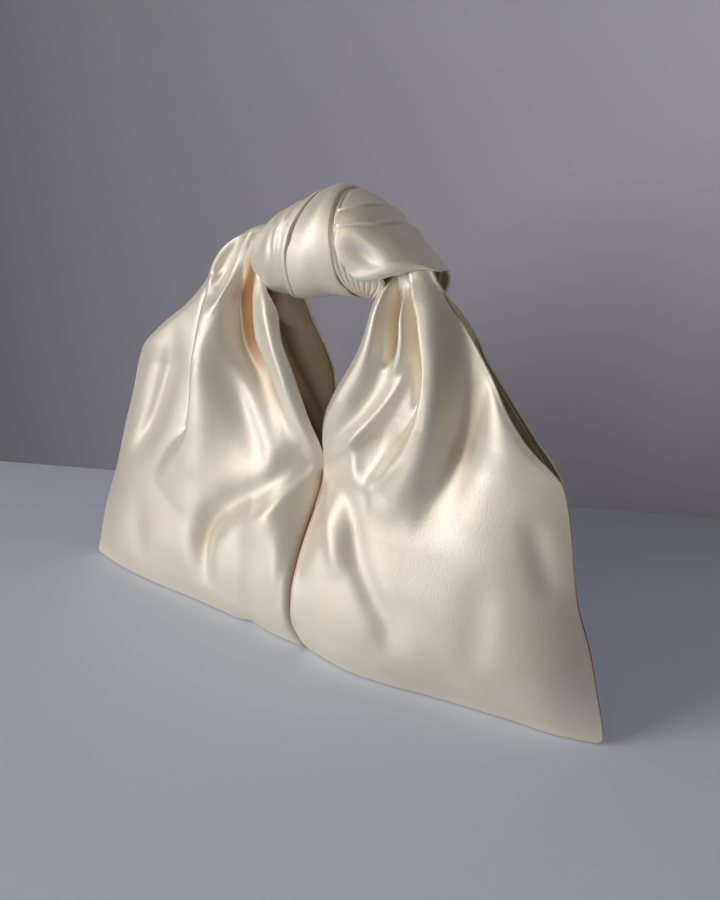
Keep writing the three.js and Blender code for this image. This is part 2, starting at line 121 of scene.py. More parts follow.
def blurred(grid, times=1):
    """The grid with each value drawn a little towards its neighbours. The edges stay."""
    for _ in range(times):
        g = grid.copy()
        g[1:-1, 1:-1] = 0.5 * grid[1:-1, 1:-1] + 0.125 * (
            grid[:-2, 1:-1] + grid[2:, 1:-1] + grid[1:-1, :-2] + grid[1:-1, 2:]
        )
        grid = g
    return grid


# Strokes, which make the folds


def stroke_height(x, z, stroke):
    """How far one stroke lifts the cloth at each place.

    points are (x, z). height, before and after are lists along the line: the lift, and the widths
    on the left and the right of someone who goes down the line and looks at the front of the bag.
    round is how blunt the crest is: 2 is a soft hill, and 4 has a flat top and steep sides."""
    line, along = smooth_line(stroke["points"], 48)
    share = np.linspace(0, 1, len(stroke["height"]))
    lift = smooth_values(list(zip(share, stroke["height"])), along)
    left = np.interp(along, np.linspace(0, 1, len(stroke["left"])), stroke["left"])
    right = np.interp(along, np.linspace(0, 1, len(stroke["right"])), stroke["right"])
    a, b = line[:-1], line[1:]
    run = b - a
    length = (run**2).sum(1)
    px, pz = x.ravel(), z.ravel()
    dx, dz = px[:, None] - a[:, 0], pz[:, None] - a[:, 1]
    t = np.clip((dx * run[:, 0] + dz * run[:, 1]) / length, 0, 1)
    ox, oz = dx - t * run[:, 0], dz - t * run[:, 1]
    away = ox**2 + oz**2
    nearest = away.argmin(1)
    row = np.arange(len(px))
    t = t[row, nearest]
    side = ox[row, nearest] * -run[nearest, 1] + oz[row, nearest] * run[nearest, 0]
    distance = np.sqrt(away[row, nearest])
    wide_left = mix(left[nearest], left[nearest + 1], t)
    wide_right = mix(right[nearest], right[nearest + 1], t)
    blend = soft_step(-0.4, 0.4, side / np.maximum(distance * np.sqrt(length[nearest]), 1e-6))
    wide = mix(wide_left, wide_right, blend)
    power = mix(*stroke["round"], blend)
    h = mix(lift[nearest], lift[nearest + 1], t)
    return (h * np.exp(-((distance / wide) ** power))).reshape(x.shape)


def fold(points, height, left, right, blunt=(2, 2)):
    """One stroke. A width is one number, or a list along the line."""
    left, right = np.atleast_1d(left), np.atleast_1d(right)
    return {"points": points, "height": height, "left": left, "right": right, "round": blunt}


# The folds of the front's left half, from the outer edge to the centre seam.
FRONT_LEFT_FOLDS = [
    # the long tube from the shoulder, whose left side hangs over the flat outer panel
    fold([(-69, 187), (-70, 178), (-69, 163), (-70.5, 133), (-72, 108), (-82, 84), (-91, 63)],
         [3, 9, 11.5, 11, 8.5, 4, 0], [5.5, 6, 6, 6.5, 9, 14, 16], [10, 12, 14, 17, 20, 20, 18], (6, 2)),
    # the dark line where the outer panel goes in behind it
    fold([(-76, 184), (-77, 163), (-79, 133), (-82, 110), (-93, 88)], [-1, -3.5, -3.5, -2, 0], 2.4, 3),
    # the soft streaks on the outer panel
    fold([(-96, 160), (-106, 130), (-116, 100), (-132, 72)], [0, -3.6, -3.8, 0], 5, 10),
    fold([(-111, 150), (-124, 120), (-136, 92)], [0, 1.2, 0], 7, 6),
    # the leaf at the shoulder: its outer rim, its hollow and the bright facet edge
    fold([(-50, 222), (-64, 209), (-73, 196), (-77, 184)], [1, 4, 4, 1], 3, 3.5),
    fold([(-54, 214), (-60, 205), (-66, 194), (-68, 184)], [-2, -5, -6, -2], 4.5, 5),
    fold([(-47, 217), (-51.5, 204), (-56.5, 189), (-64, 178)], [3, 6, 6, 2], 3, 3.5),
    # the deep valley under the knot, which opens out towards the mouth
    fold([(-43, 216), (-49, 200), (-50, 180), (-47, 162), (-37, 146), (-26, 129), (-18, 111)],
         [-10, -16, -17, -14, -9, -5, -1], [5.5, 6.5, 7, 8.5, 9, 9, 7], [5, 6, 6.5, 7, 8, 8, 7], (3, 3)),
    # the grey hollow between the tube and the valley
    fold([(-58, 168), (-56, 150), (-47, 131), (-34, 110), (-28, 96)], [0, -3, -4, -3, 0], 8, 7),
    # the inner fold that runs down to the mouth
    fold([(-36, 199), (-30, 187), (-20, 169), (-12, 151), (-6, 132), (-2, 116)],
         [-3, 5, 7.5, 6.5, 5, 1.5], [7, 8, 9, 9, 7, 5], [3.5, 4, 5, 5, 4, 4], (2, 3)),
    # the pull that runs out from the snap, with its sharp upper side, and a soft one beside the seam
    fold([(-2, 102), (-9, 92), (-17, 81), (-27, 72), (-42, 64)],
         [1.6, 3, 3, 1.6, 0], [3, 3.5, 4, 6], [9, 12, 14, 14]),
    fold([(-4, 94), (-8, 72), (-10, 51), (-12, 30)], [0, 1.2, 1, 0], 5, 4),
    # the hollow that runs on from the valley, and the crescent low on the left that it ends in
    fold([(-12, 108), (-19, 98), (-27, 88), (-40, 79), (-52, 72)], [-1, -3, -3.4, -2.4, 0],
         [6, 7, 8, 9], 5),
    fold([(-32, 79), (-44, 74), (-55, 65), (-62, 52), (-62, 38), (-58, 22)],
         [0, -3.6, -6, -6.2, -4, 0], [10, 9, 8, 7], [9, 8, 7, 7]),
    # the small tuck at the bottom edge, and a faint hollow low on the outer panel
    fold([(-40, 10), (-38, 0)], [0, -3.4], 6, 8),
    fold([(-112, 60), (-116, 34), (-112, 12)], [0, -1.6, 0], 10, 9),
]

# The folds of the front's right half, from the centre seam to the outer edge.
FRONT_RIGHT_FOLDS = [
    # the inner tube, from under the knot down to the mouth
    fold([(38, 216), (36.5, 200), (35, 184), (30, 170), (21, 155), (11, 136), (4, 118)],
         [2, 5, 6.5, 6, 5, 4, 1.5], [5, 6, 7, 8, 8, 6, 4], [2.6, 3, 4, 8, 10, 8, 5], (2, 3)),
    # the deep gap beside it
    fold([(43, 213), (44, 203), (45, 190), (44.5, 179), (43, 169)], [-3, -9, -12, -9, 0], 2.8, 3, (3, 3)),
    # the curl of cloth inside the gap and the narrow slit after it, which starts at the knot
    fold([(48, 207), (50, 199), (52, 188), (50, 177), (43, 168)], [0, 4, 5.5, 4, 0], 3.2, 3.6, (3, 3)),
    fold([(46, 214), (51, 206), (55.5, 195), (59, 182), (61, 167), (60, 152)],
         [-3, -6, -7, -7, -4, 0], 2.2, 2.2),
    # the long outer tube, steep on its left side near the knot
    fold([(47, 218), (55, 211), (62, 202), (66, 192), (70, 178), (71, 162), (69, 145), (62, 128), (49, 110)],
         [2, 6, 9.5, 11, 11.5, 11, 9.5, 7, 2.5], [4.5, 5, 5, 5, 6, 8, 10, 11, 10],
         [6, 7, 8, 9, 9.5, 10, 11, 12, 13], (5, 3)),
    # the hollow on its right and the light streak after that
    fold([(78, 194), (83, 179), (85, 162), (84, 144), (80, 125), (76, 106), (74, 90)],
         [-2, -5, -7.5, -8, -6, -3, 0], [7, 8, 8, 9], [9, 11, 12, 14], (3, 2)),
    fold([(90, 176), (99, 160), (108, 145), (119, 130)], [0, 1.3, 1.3, 0], 9, 9),
    # the ridge that is drawn from the snap up to the curl
    fold([(3, 110), (20, 124), (37, 142), (50, 163), (55, 182)], [1, 4, 4.4, 3.4, 0], 3, 5),
    # the bowl at the foot of the tubes and its bright rim
    fold([(50, 146), (43, 134), (40, 120)], [-1, -3.4, -1.5], 8, 8),
    fold([(35, 142), (28, 129), (31, 114), (43, 114), (60, 134)], [0, 1.4, 2, 1.6, 0], 4, 4),
    # the leaf-shaped pull beside the seam, and the ridge above it
    fold([(5, 104), (24, 101), (32, 91), (39, 74), (49, 59), (60, 44), (63, 24)],
         [0, -1.6, -2.4, -2.8, -2.8, -2.6, 0], [4, 5, 6, 8], [6, 7, 9, 11]),
    fold([(3, 99), (14, 92), (24, 78), (31, 60)], [1, 2.4, 2.2, 0], 5, 6),
    # a soft hollow low on the right, and the crease on the right flank
    fold([(104, 88), (107, 70), (108, 46), (104, 26)], [0, -1.2, -1.3, 0], 10, 9),
    fold([(122, 118), (127, 104), (132, 90), (139, 74)], [0, -2.2, -2.4, 0], 5, 6),
]


# The bag's outline and depth

OUTER_EDGE = {
    RIGHT: [(0, (160, 0)), (0.008, (163.5, 1)), (0.02, (166, 4)), (0.12, (160.5, 30)), (0.21, (154.5, 52)),
            (0.295, (146.5, 74)), (0.36, (143, 92)), (0.437, (139.5, 113)), (0.5, (134.5, 131)),
            (0.58, (115, 150)), (0.72, (97, 171)), (0.88, (77, 196)), (1, (60, 215))],
    LEFT: [(0, (-162, 0)), (0.008, (-163, 2)), (0.02, (-162.7, 4)), (0.12, (-158.5, 30)), (0.25, (-149.5, 62)),
           (0.34, (-144, 86)), (0.43, (-137, 111)), (0.5, (-132, 131)), (0.58, (-114, 152)),
           (0.7, (-91, 172.5)), (0.8, (-78.5, 188)), (0.9, (-67, 205.5)), (1, (-50, 219))],
}
INNER_EDGE = {
    RIGHT: [(0, (0.3, 0)), (0.43, (0.3, 105)), (0.47, (1.2, 118)), (0.52, (6, 136)), (0.58, (13, 150)),
            (0.72, (26, 177)), (0.88, (32, 200)), (1, (39, 216))],
    LEFT: [(0, (-0.3, 0)), (0.43, (-0.3, 105)), (0.47, (-1, 118)), (0.52, (-4.5, 136)), (0.58, (-8.5, 150)),
           (0.72, (-18, 170)), (0.88, (-26, 186)), (1, (-36, 195))],
}
SPLIT_AT = 0.58  # where a panel ends and its strap begins
MOUTH_AT = 0.43
SIDE_SEAM_TOP = 132.0
BASE_MIDDLE = [(-165, -12), (-143, -10.5), (-113, -6.5), (-80, -1.5), (-58, 0), (0, 1), (32, -3),
               (54, -1), (71, 2), (95, 5), (120, 6), (145, 4), (165, 3.5)]
# how far the wall stands from the middle of the bag, by height, away from the seams
FULL_DEPTH = [(0, 19), (4, 22.5), (10, 27.5), (20, 32), (36, 34), (60, 31.5), (85, 25.5), (105, 20.5),
              (132, 16.5), (178, 12.5), (222, 10)]
UNDER_THE_HOOD = [(196, 0), (206, -1.5), (214, -5), (222, -8)]
# how much of the wall keeps its depth almost to the side before it drops, by height
FLANK_SHARE = [(0, 0.3), (20, 0.6), (45, 0.85), (105, 0.85), (130, 0.5), (170, 0)]
LEFT_FLANK = 0.3
ROUND_FLANK, STEEP_FLANK = 2.4, 8
# how far the wall stands out where the centre seam draws it in, and how wide that valley is
DRAWN_DEPTH = [(0, 18.7), (10, 26), (30, 34.4), (42, 33.6), (56, 29), (70, 22), (84, 13), (95, 7),
               (105, 5.8), (178, 8.5), (215, 8)]
DRAWN_REACH = [(0, 6), (40, 7.5), (70, 10), (105, 15), (215, 17)]
DRAWN_TOP, DRAWN_FADE = 150, 45
EDGE_DEPTH = [(0, 0.45), (132, 0.45), (137, 2.4), (145, 5.2), (155, 5.8), (170, 4.8), (190, 2.6), (222, 1.8)]
# the foot of the mouth, and how far its edges spread over how much height
MOUTH_HEIGHT, MOUTH_SPREAD, MOUTH_RISE = 105, 32, 95
SEAM_GAP = 0.15
# the height where the S of the base is gone, and how fast it goes
STRAIGHT_FROM, STRAIGHTENING = 130, 1.2
COLUMNS, ROWS = 150, 180
KNOT_ROWS = 12
EDGE_TURNS = 3  # columns of a mesh round each long edge of the cloth
BACK_FOLD_SHARE = 0.9
GENTLE_SEAM, SHARP_SEAM = (2.4, 2.8), (1.0, 1.5)  # how wide and how deep the centre seam dives in
# how far the free edges are turned in, and over what width
MOUTH_TURN, MOUTH_TURN_REACH = 3.2, 3
SIDE_TURN_REACH = 2.5
# the share of the smooth depth that no fold goes below, and how sharply it stops there
LEAST_SHARE, LEAST_BLUNT = 0.35, 1.5
FLOOR_GAP = 0.6
# how thin the cloth is pressed along the side seam, and over what width
SEWN_THINNESS, SEWN_REACH = 0.4, 5
NECK_WAY = {LEFT: (16, 12, 10), RIGHT: (-10, 6, 14)}
NECK_CLOSES_TO = 0.55


def outer_x(side, z):
    """Half the bag's width at a height, on one side."""
    return smooth_values(sorted((p[1], abs(p[0])) for _, p in OUTER_EDGE[side]), z)


def inner_x(z):
    return np.where(z < MOUTH_HEIGHT, SEAM_GAP, SEAM_GAP + MOUTH_SPREAD * (z - MOUTH_HEIGHT) / MOUTH_RISE)


def pillow_depth(side, x, z):
    """How far the smooth cloth stands from the middle of the bag."""
    full = smooth_values(FULL_DEPTH, z)
    drawn = smooth_values(DRAWN_DEPTH, z)
    edge = smooth_values(EDGE_DEPTH, z)
    inner, outer = inner_x(z), outer_x(side, z)
    across = np.clip((np.abs(x) - inner) / (outer - inner), 0, 1)
    flank = smooth_values(FLANK_SHARE, z) * (1 if side == RIGHT else LEFT_FLANK)
    depth = edge + (full - edge) * (1 - (1 - flank) * across**ROUND_FLANK - flank * across**STEEP_FLANK)
    from_seam = np.maximum(np.abs(x) - inner, 0)
    near_seam = np.exp(-((from_seam / smooth_values(DRAWN_REACH, z)) ** 2))
    near_seam = near_seam * np.clip((DRAWN_TOP - z) / DRAWN_FADE, 0, 1)
    return depth - (full - drawn) * near_seam * (depth - edge) / np.maximum(full - edge, 1)


def middle_y(x, z):
    """The S-shaped line of the base, which straightens out upwards."""
    return smooth_values(BASE_MIDDLE, x) * np.clip(1 - z / STRAIGHT_FROM, 0, 1) ** STRAIGHTENING


def quarter_plan(side):
    """The x and z of a quarter's grid, how far up each row lies, and the row where the strap begins."""
    v = np.linspace(0, 1, ROWS)
    split = int(round(SPLIT_AT * (ROWS - 1)))
    v[split] = SPLIT_AT
    u = np.linspace(0, 1, COLUMNS)[None, :]

    def edge_line(edge, k):
        return smooth_values([(share, p[k]) for share, p in edge], v)[:, None]

    x, z = (mix(edge_line(OUTER_EDGE[side], k), edge_line(INNER_EDGE[side], k), u) for k in (0, 1))
    return x, z, v, split


def fold_field(side):
    """How far the folds lift the cloth at each point of the front's quarter on this side."""
    x, z = quarter_plan(side)[:2]
    strokes = FRONT_LEFT_FOLDS if side == LEFT else FRONT_RIGHT_FOLDS
    return blurred(sum(stroke_height(x, z, s) for s in strokes), 2)


def painted_fold_shade(side, field):
    """How much painted shade each point takes, from 0 to 1: more the deeper it lies in a fold, and a thin dark
    line of it along the sewn centre seam.
    """
    hollow = blurred(field, 60) - field
    narrow = blurred(field, 12) - field
    # painted shade: the lower a point lies and the more the cloth closes round it, the darker and warmer it is
    # painted
    painted_shade = np.clip(0.08 * (-field - 3.5) + 0.06 * (hollow - 0.5) + 0.2 * narrow, 0, 1)
    x, _, v, _ = quarter_plan(side)
    sewn = 1 - soft_step(MOUTH_AT - 0.02, MOUTH_AT, v)[:, None]
    # painted shade along the crease of the sewn centre seam, as a thin dark line
    painted_seam_shade = 0.75 * np.exp(-((x / 1.2) ** 2)) + 0.3 * np.exp(-((x / 3) ** 2))
    painted_shade = np.maximum(painted_shade, sewn * painted_seam_shade)
    return np.concatenate([painted_shade, np.repeat(painted_shade[-1:], KNOT_ROWS, 0)])


def into_the_knot(points, side):
    """Rows added past the neck, where the strap narrows and is lost inside the knot."""
    last = points[-1]
    centre = last.mean(0)
    rows = []
    for k in range(1, KNOT_ROWS + 1):
        t = k / KNOT_ROWS
        close = mix(1, NECK_CLOSES_TO, soft_step(0, 1, t))
        rows.append(centre + (last - centre) * close + np.array(NECK_WAY[side]) * t)
    return np.concatenate([points, np.array(rows)])


def quarter_cloth(side, face, field):
    """One quarter's outer face in millimetres, the row where its strap begins, and its share of thickness."""
    x, z, v, split = quarter_plan(side)
    smooth = pillow_depth(side, x, z)
    depth = smooth + field * (1 if face == FRONT else BACK_FOLD_SHARE)
    if side == RIGHT:
        depth += smooth_values(UNDER_THE_HOOD, z)
    # the centre seam dives in, gently on one half and sharply on the other
    below_mouth = 1 - soft_step(MOUTH_AT - 0.01, MOUTH_AT + 0.03, v)[:, None]
    reach, sink = GENTLE_SEAM if (side == LEFT) == (face == FRONT) else SHARP_SEAM
    depth -= below_mouth * sink * np.exp(-((np.abs(x) / reach) ** 2))
    # free edges are turned in
    u = np.linspace(0, 1, COLUMNS)[None, :]
    span = np.abs(x[:, :1] - x[:, -1:])
    depth -= (1 - below_mouth) * MOUTH_TURN * np.exp(-(((1 - u) * span / MOUTH_TURN_REACH) ** 2))
    open_side = soft_step(0.5, 0.56, v)[:, None]
    depth -= open_side * np.exp(-((u * span / SIDE_TURN_REACH) ** 2))
    least = LEAST_SHARE * smooth
    depth = least + np.logaddexp(0, (depth - least) * LEAST_BLUNT) / LEAST_BLUNT
    # the bottom edge is rounded on the floor
    points = np.stack([x, middle_y(x, z) + face * depth, np.maximum(z, FLOOR_GAP)], -1)
    # the cloth is pressed thin along the sewn side seam
    sewn = 1 - soft_step(0.49, 0.53, v)[:, None]
    thin = mix(1, mix(SEWN_THINNESS, 1, soft_step(0, SEWN_REACH, u * span)), sewn)
    return into_the_knot(points, side), split, np.concatenate([thin, np.ones((KNOT_ROWS, COLUMNS))])


# Meshes of doubled cloth


def grid_normals(p, face_out, closed=False):
    """Unit normals of a grid of points. face_out is a direction that most of them share."""
    if closed:
        down = np.roll(p, -1, 0) - np.roll(p, 1, 0)
    else:
        down = np.gradient(p, axis=0)
    n = np.cross(np.gradient(p, axis=1), down)
    n /= np.maximum(np.linalg.norm(n, axis=-1, keepdims=True), 1e-9)
    if (n * face_out).sum() < 0:
        n = -n
    return n


def cloth_lengths(p):
    """How far along the cloth each grid point is, across and up, in metres, for the weave."""
    rows, cols = p.shape[:2]
    steps_across, steps_up = (np.linalg.norm(np.diff(p, axis=axis), axis=-1) for axis in (1, 0))
    across = np.concatenate([np.zeros((rows, 1)), np.cumsum(steps_across, 1)], 1)
    up = np.concatenate([np.zeros((1, cols)), np.cumsum(steps_up, 0)], 0)
    return np.stack([across - across[:, -1:], up], -1) * MM


def doubled_cloth(name, p, n, thickness, material, closed=False, mask=None, inside=None):
    """A closed mesh with an outer face p, an inner face below it and rounded long edges, in the scene.

    p runs in rows. closed says that the last row meets the first. mask is a value per point for the
    material, such as how much painted shade it takes in a fold. inside is a second material for the inner face."""
    rows, cols = p.shape[:2]
    turns = EDGE_TURNS
    t = np.broadcast_to(np.asarray(thickness, float), (rows, cols))[..., None]
    mask = np.zeros((rows, cols)) if mask is None else mask

    def rim(edge, near):
        middle = p[:, edge] - n[:, edge] * t[:, edge] / 2
        out = p[:, edge] - p[:, near]
        out -= (out * n[:, edge]).sum(-1, keepdims=True) * n[:, edge]
        out /= np.maximum(np.linalg.norm(out, axis=-1, keepdims=True), 1e-9)
        angles = np.linspace(0, math.pi, turns + 2)[1:-1]
        return [middle + t[:, edge] / 2 * (n[:, edge] * math.cos(a) + out * math.sin(a)) for a in angles]

    end, start = np.stack(rim(-1, -2), 1), np.stack(rim(0, 1)[::-1], 1)
    ring = np.concatenate([p, end, (p - n * t)[:, ::-1], start], 1)
    # the column of the outer face that each column of the ring takes its cloth length and mask from
    source = [*range(cols), *[cols - 1] * turns, *range(cols - 1, -1, -1), *[0] * turns]
    lengths, masks = cloth_lengths(p)[:, source], mask[:, source]
    wide = ring.shape[1]
    flip = np.cross(p[0, 1] - p[0, 0], p[1, 0] - p[0, 0]) @ n[0, 0] < 0
    r = np.arange(rows if closed else rows - 1)[:, None]
    c = np.arange(wide)[None, :]
    nr, nc = (r + 1) % rows, (c + 1) % wide
    quads = np.stack([r * wide + c, r * wide + nc, nr * wide + nc, nr * wide + c], -1).reshape(-1, 4)
    kinds = np.broadcast_to((c >= cols + turns - 1) & (c < 2 * cols + turns), (len(r), wide)).reshape(-1)
    if not closed:
        # the two ends are stitched shut, outer face to inner face
        c = np.arange(cols - 1)
        for row, turn in ((0, True), (rows - 1, False)):
            base = row * wide
            a, b = base + c, base + c + 1
            d, e = base + 2 * cols + turns - 1 - c, base + 2 * cols + turns - 2 - c
            cap = np.stack([a, d, e, b] if turn else [a, b, e, d], -1)
            fans = []
            for first, last in ((cols - 1, cols + turns), (2 * cols + turns - 1, 2 * cols + 2 * turns)):
                loop = [base + (k % wide) for k in range(first, last + 1)]
                fans.append(loop if not turn else loop[::-1])
            quads = [*map(list, quads), *map(list, cap), *fans]
            kinds = np.concatenate([kinds, np.zeros(len(cap) + len(fans), bool)])
    faces = [list(map(int, f)) for f in quads]
    if flip:
        faces = [f[::-1] for f in faces]
    mesh = bpy.data.meshes.new(name)
    mesh.from_pydata([tuple(v) for v in ring.reshape(-1, 3) * MM], [], faces)
    mesh.update()
    loops = np.zeros(len(mesh.loops), int)
    mesh.loops.foreach_get("vertex_index", loops)
    uv = mesh.uv_layers.new(name="cloth")
    uv.data.foreach_set("uv", lengths.reshape(-1, 2)[loops].astype(np.float32).ravel())
    # the painted shade of the folds, kept on the points for the satin's colour
    painted_shade = mesh.attributes.new("painted_fold_shade", "FLOAT", "POINT")
    painted_shade.data.foreach_set("value", masks.reshape(-1).astype(np.float32))
    mesh.materials.append(material)
    if inside is not None:
        mesh.materials.append(inside)
        mesh.polygons.foreach_set("material_index", kinds.astype(np.int32))
    mesh.polygons.foreach_set("use_smooth", np.ones(len(mesh.polygons), bool))
    piece = bpy.data.objects.new(name, mesh)
    bpy.context.scene.collection.objects.link(piece)
    return piece


def keep_normals(piece, n, row):
    """Gives one row the normals of the whole quarter, so that no line shows where the cloth is split."""
    mesh = piece.data
    rows, cols = n.shape[:2]
    own = np.zeros(len(mesh.vertices) * 3)
    mesh.vertices.foreach_get("normal", own)
    own = own.reshape(rows, -1, 3)
    own[row, :cols] = n[row]
    own[row, cols + EDGE_TURNS : 2 * cols + EDGE_TURNS] = -n[row, ::-1]
    mesh.normals_split_custom_set_from_vertices([tuple(v) for v in own.reshape(-1, 3)])


def flat_size(p):
    """(width, length, area) of the cut of cloth that a grid of points makes, in metres."""
    a, b = p[1:, 1:] - p[:-1, :-1], p[1:, :-1] - p[:-1, 1:]
    area = float(np.linalg.norm(np.cross(a, b), axis=-1).sum() / 2) * MM * MM
    across = np.linalg.norm(np.diff(p, axis=1), axis=-1).sum(1)
    up = np.linalg.norm(np.diff(p, axis=0), axis=-1).sum(0)
    width, length = float(across.max()) * MM, float(up.max()) * MM
    return round(width, 3), round(length, 3), round(min(area, width * length), 5)


def declare_sheet(p):
    width, length, area = flat_size(p)
    area = max(area, round(0.31 * width * length, 5))


# The knot's rounded form

KNOT_PLACES = (-50, -44, -30, -12, 4, 18, 34, 50, 58, 63)
KNOT_HEIGHTS = (205, 205.5, 210.5, 217, 222, 221, 215.5, 211, 210.5, 211)
KNOT_RADII = (8.5, 14.5, 22.3, 25, 24.3, 22.6, 17.8, 11, 6.2, 2.6)
KNOT_Y, KNOT_FLAT = 5.0, 0.9
KNOT_MIDDLE, KNOT_RADIUS = list(zip(KNOT_PLACES, KNOT_HEIGHTS)), list(zip(KNOT_PLACES, KNOT_RADII))


def knot_point(x, turn, lift=0):
    """A place on the knot's form: x along it, and turn degrees from the top towards the front."""
    x, turn, lift = np.broadcast_arrays(*(np.asarray(v, float) for v in (x, turn, lift)))
    radius = smooth_values(KNOT_RADIUS, x) + lift
    a = np.radians(turn)
    y = KNOT_Y - KNOT_FLAT * radius * np.sin(a)
    return np.stack([x, y, smooth_values(KNOT_MIDDLE, x) + radius * np.cos(a)], -1)


# The left and right edges of each layer of the knot, as (turn, x)
W2_LEFT = [(-180, -18), (-140, -16), (-90, -12), (-40, -8.5), (0, -6.5), (18, -7), (42, -8.5), (60, -10),
           (76, -11), (87, -12.5), (105, -13), (126, -13.5), (144, -15.5), (180, -18)]
W2_RIGHT = [(-180, 16), (-120, 12), (-60, 6), (-10, 4), (18, 5), (39, 7), (56, 8.5), (70, 10), (87, 12),
            (105, 13), (124, 13.5), (138, 16), (180, 16)]
MASS_LEFT = [(-180, 14), (-120, 12), (-60, 8), (-3, 6), (20, 8), (32, 9.5), (45, 10.2), (62, 13)]
F2_LEFT = [(-180, 25), (-100, 26), (-60, 27), (-30, 27), (-6, 25), (21, 20), (37, 13.5), (44, 10.2),
           (62, 11.2), (66, 12.2), (74, 16)]
F3_LEFT = [(-180, 38), (-80, 39), (-40, 38.5), (-9, 36), (32, 28.5), (50, 20), (61, 12.8), (75, 13.2),
           (88, 16), (98, 20), (106, 26)]
MASS_RIGHT = [(-180, 55), (-120, 58), (-60, 60), (0, 60.5), (22, 59.5), (33, 57.5), (45, 53.5), (63, 48),
              (75, 44.5), (82, 41.5), (90, 38.5), (98, 34.5), (106, 29)]
EDGE_WIDTH = [(-180, 3.4), (0, 4.4), (52, 5.2), (69, 5.6), (86, 4.2), (105, 3.4), (180, 3.2)]
W1_LEFT = [(-180, -28), (-150, -32), (-120, -42), (-90, -47), (-40, -49.5), (0, -50), (60, -49.5), (112, -48),
           (121, -43), (143, -39), (155, -31), (180, -28)]
PLEATS_LEFT = [(-180, 14), (-120, 11), (-60, 5), (-10, 3), (39, 6), (70, 9), (87, 11), (104, 12.5), (125, 15),
               (142, 19), (156, 23), (180, 24)]
PLEATS_RIGHT = [(-180, 28), (-60, 19), (0, 19), (30, 22), (45, 25), (66, 30), (87, 36), (104, 37.5),
                (120, 35.5), (138, 31), (156, 28), (180, 27.5)]


def knot_layer(name, left, right, turns, columns, lift, thickness, material, closed=False, painted_shade=None,
               inside=None):
    """One wrap of cloth round the knot between its left and right edges, and its points.

    lift gives how far it stands off the form, and painted_shade how much painted shade it takes in a fold. Both
    are worked out from the share of the way across, the turn and x, and lift also from the edges' x."""
    turn = np.asarray(turns, float)[:, None]
    q = np.linspace(0, 1, columns)[None, :]
    lo, hi = smooth_values(left, turn), smooth_values(right, turn)
    x = mix(lo, hi, q)
    p = knot_point(x, turn, lift(q, turn, x, lo, hi))
    centre = np.stack([x, np.full_like(x, KNOT_Y), smooth_values(KNOT_MIDDLE, x)], -1)
    n = grid_normals(p, p - centre, closed)
    mask = None if painted_shade is None else painted_shade(q, turn, x) + 0 * x
    return doubled_cloth(name, p, n, thickness, material, closed=closed, mask=mask, inside=inside), p


# Materials


def fill(tree, made, inputs):
    """Gives each input named in inputs a value, or links it to the output that stands there."""
    for key, value in inputs.items():
        if isinstance(value, bpy.types.NodeSocket):
            tree.links.new(value, made.inputs[key])
        else:
            made.inputs[key].default_value = value


def node(tree, kind, at, inputs=None, **values):
    """A new node at a place, with its own properties as values."""
    made = tree.nodes.new(kind)
    made.location = at
    for key, value in values.items():
        setattr(made, key, value)
    fill(tree, made, inputs or {})
    return made


def new_group(name, inputs, outputs):
    """A node group with these sockets, and what it is given."""
    g = bpy.data.node_groups.new(name, "ShaderNodeTree")
    for way, sockets in (("INPUT", inputs), ("OUTPUT", outputs)):
        for label, kind, *default in sockets:
            made = g.interface.new_socket(name=label, in_out=way, socket_type=f"NodeSocket{kind}")
            if default:
                made.default_value = default[0]
    return g, node(g, "NodeGroupInput", (-1100, 0)).outputs


def new_material(name):
    m = bpy.data.materials.new(name)
    m.use_nodes = True
    return m, m.node_tree


def satin_weave_group():
    """Long satin floats: the height of the threads, and slow changes of tone and gloss over the cloth."""
    name = "Satin weave"
    if name in bpy.data.node_groups:
        return bpy.data.node_groups[name]
    g, given = new_group(
        name,
        [("Cloth", "Vector"), ("Threads per metre", "Float", 2600.0), ("Slub", "Float", 0.5)],
        [("Height", "Float"), ("Tone", "Float"), ("Gloss", "Float")],
    )
    cloth = given["Cloth"]
    scale = node(g, "ShaderNodeVectorMath", (-880, 200), {0: cloth, "Scale": given["Threads per metre"]},
                 operation="SCALE")
    # the floats: cells that are long up the cloth and narrow across it
    stretch = node(g, "ShaderNodeMapping", (-680, 200), {"Vector": scale.outputs[0], "Scale": (1.0, 0.16, 1.0)})
    floats = node(g, "ShaderNodeTexVoronoi", (-460, 220), {"Vector": stretch.outputs[0], "Scale": 1.0},
                  feature="F1", voronoi_dimensions="2D")
    # thicker and thinner threads, drawn out along the warp
    slub_at = node(g, "ShaderNodeMapping", (-680, -60), {"Vector": cloth, "Scale": (900.0, 60.0, 1.0)})
    slub = node(g, "ShaderNodeTexNoise", (-460, -60), {"Vector": slub_at.outputs[0], "Detail": 3.0},
                noise_dimensions="2D")
    slub_share = node(g, "ShaderNodeMath", (-240, -60), {0: slub.outputs["Fac"], 1: given["Slub"]},
                      operation="MULTIPLY")
    height = node(g, "ShaderNodeMath", (-20, 180), {0: slub_share.outputs[0], 1: floats.outputs["Distance"]},
                  operation="SUBTRACT")
    # slow changes over some centimetres
    cloud = node(g, "ShaderNodeTexNoise", (-460, -300), {"Vector": cloth, "Scale": 28.0, "Detail": 4.0},
                 noise_dimensions="2D")
    tone = node(g, "ShaderNodeMapRange", (-20, -300),
                {"Value": cloud.outputs["Fac"], "From Min": 0.3, "From Max": 0.7})
    gloss = node(g, "ShaderNodeMapRange", (-20, -60),
                 {"Value": slub.outputs["Fac"], "From Min": 0.25, "From Max": 0.75})
    node(g, "NodeGroupOutput", (700, 0),
         {"Height": height.outputs[0], "Tone": tone.outputs[0], "Gloss": gloss.outputs[0]})
    return g


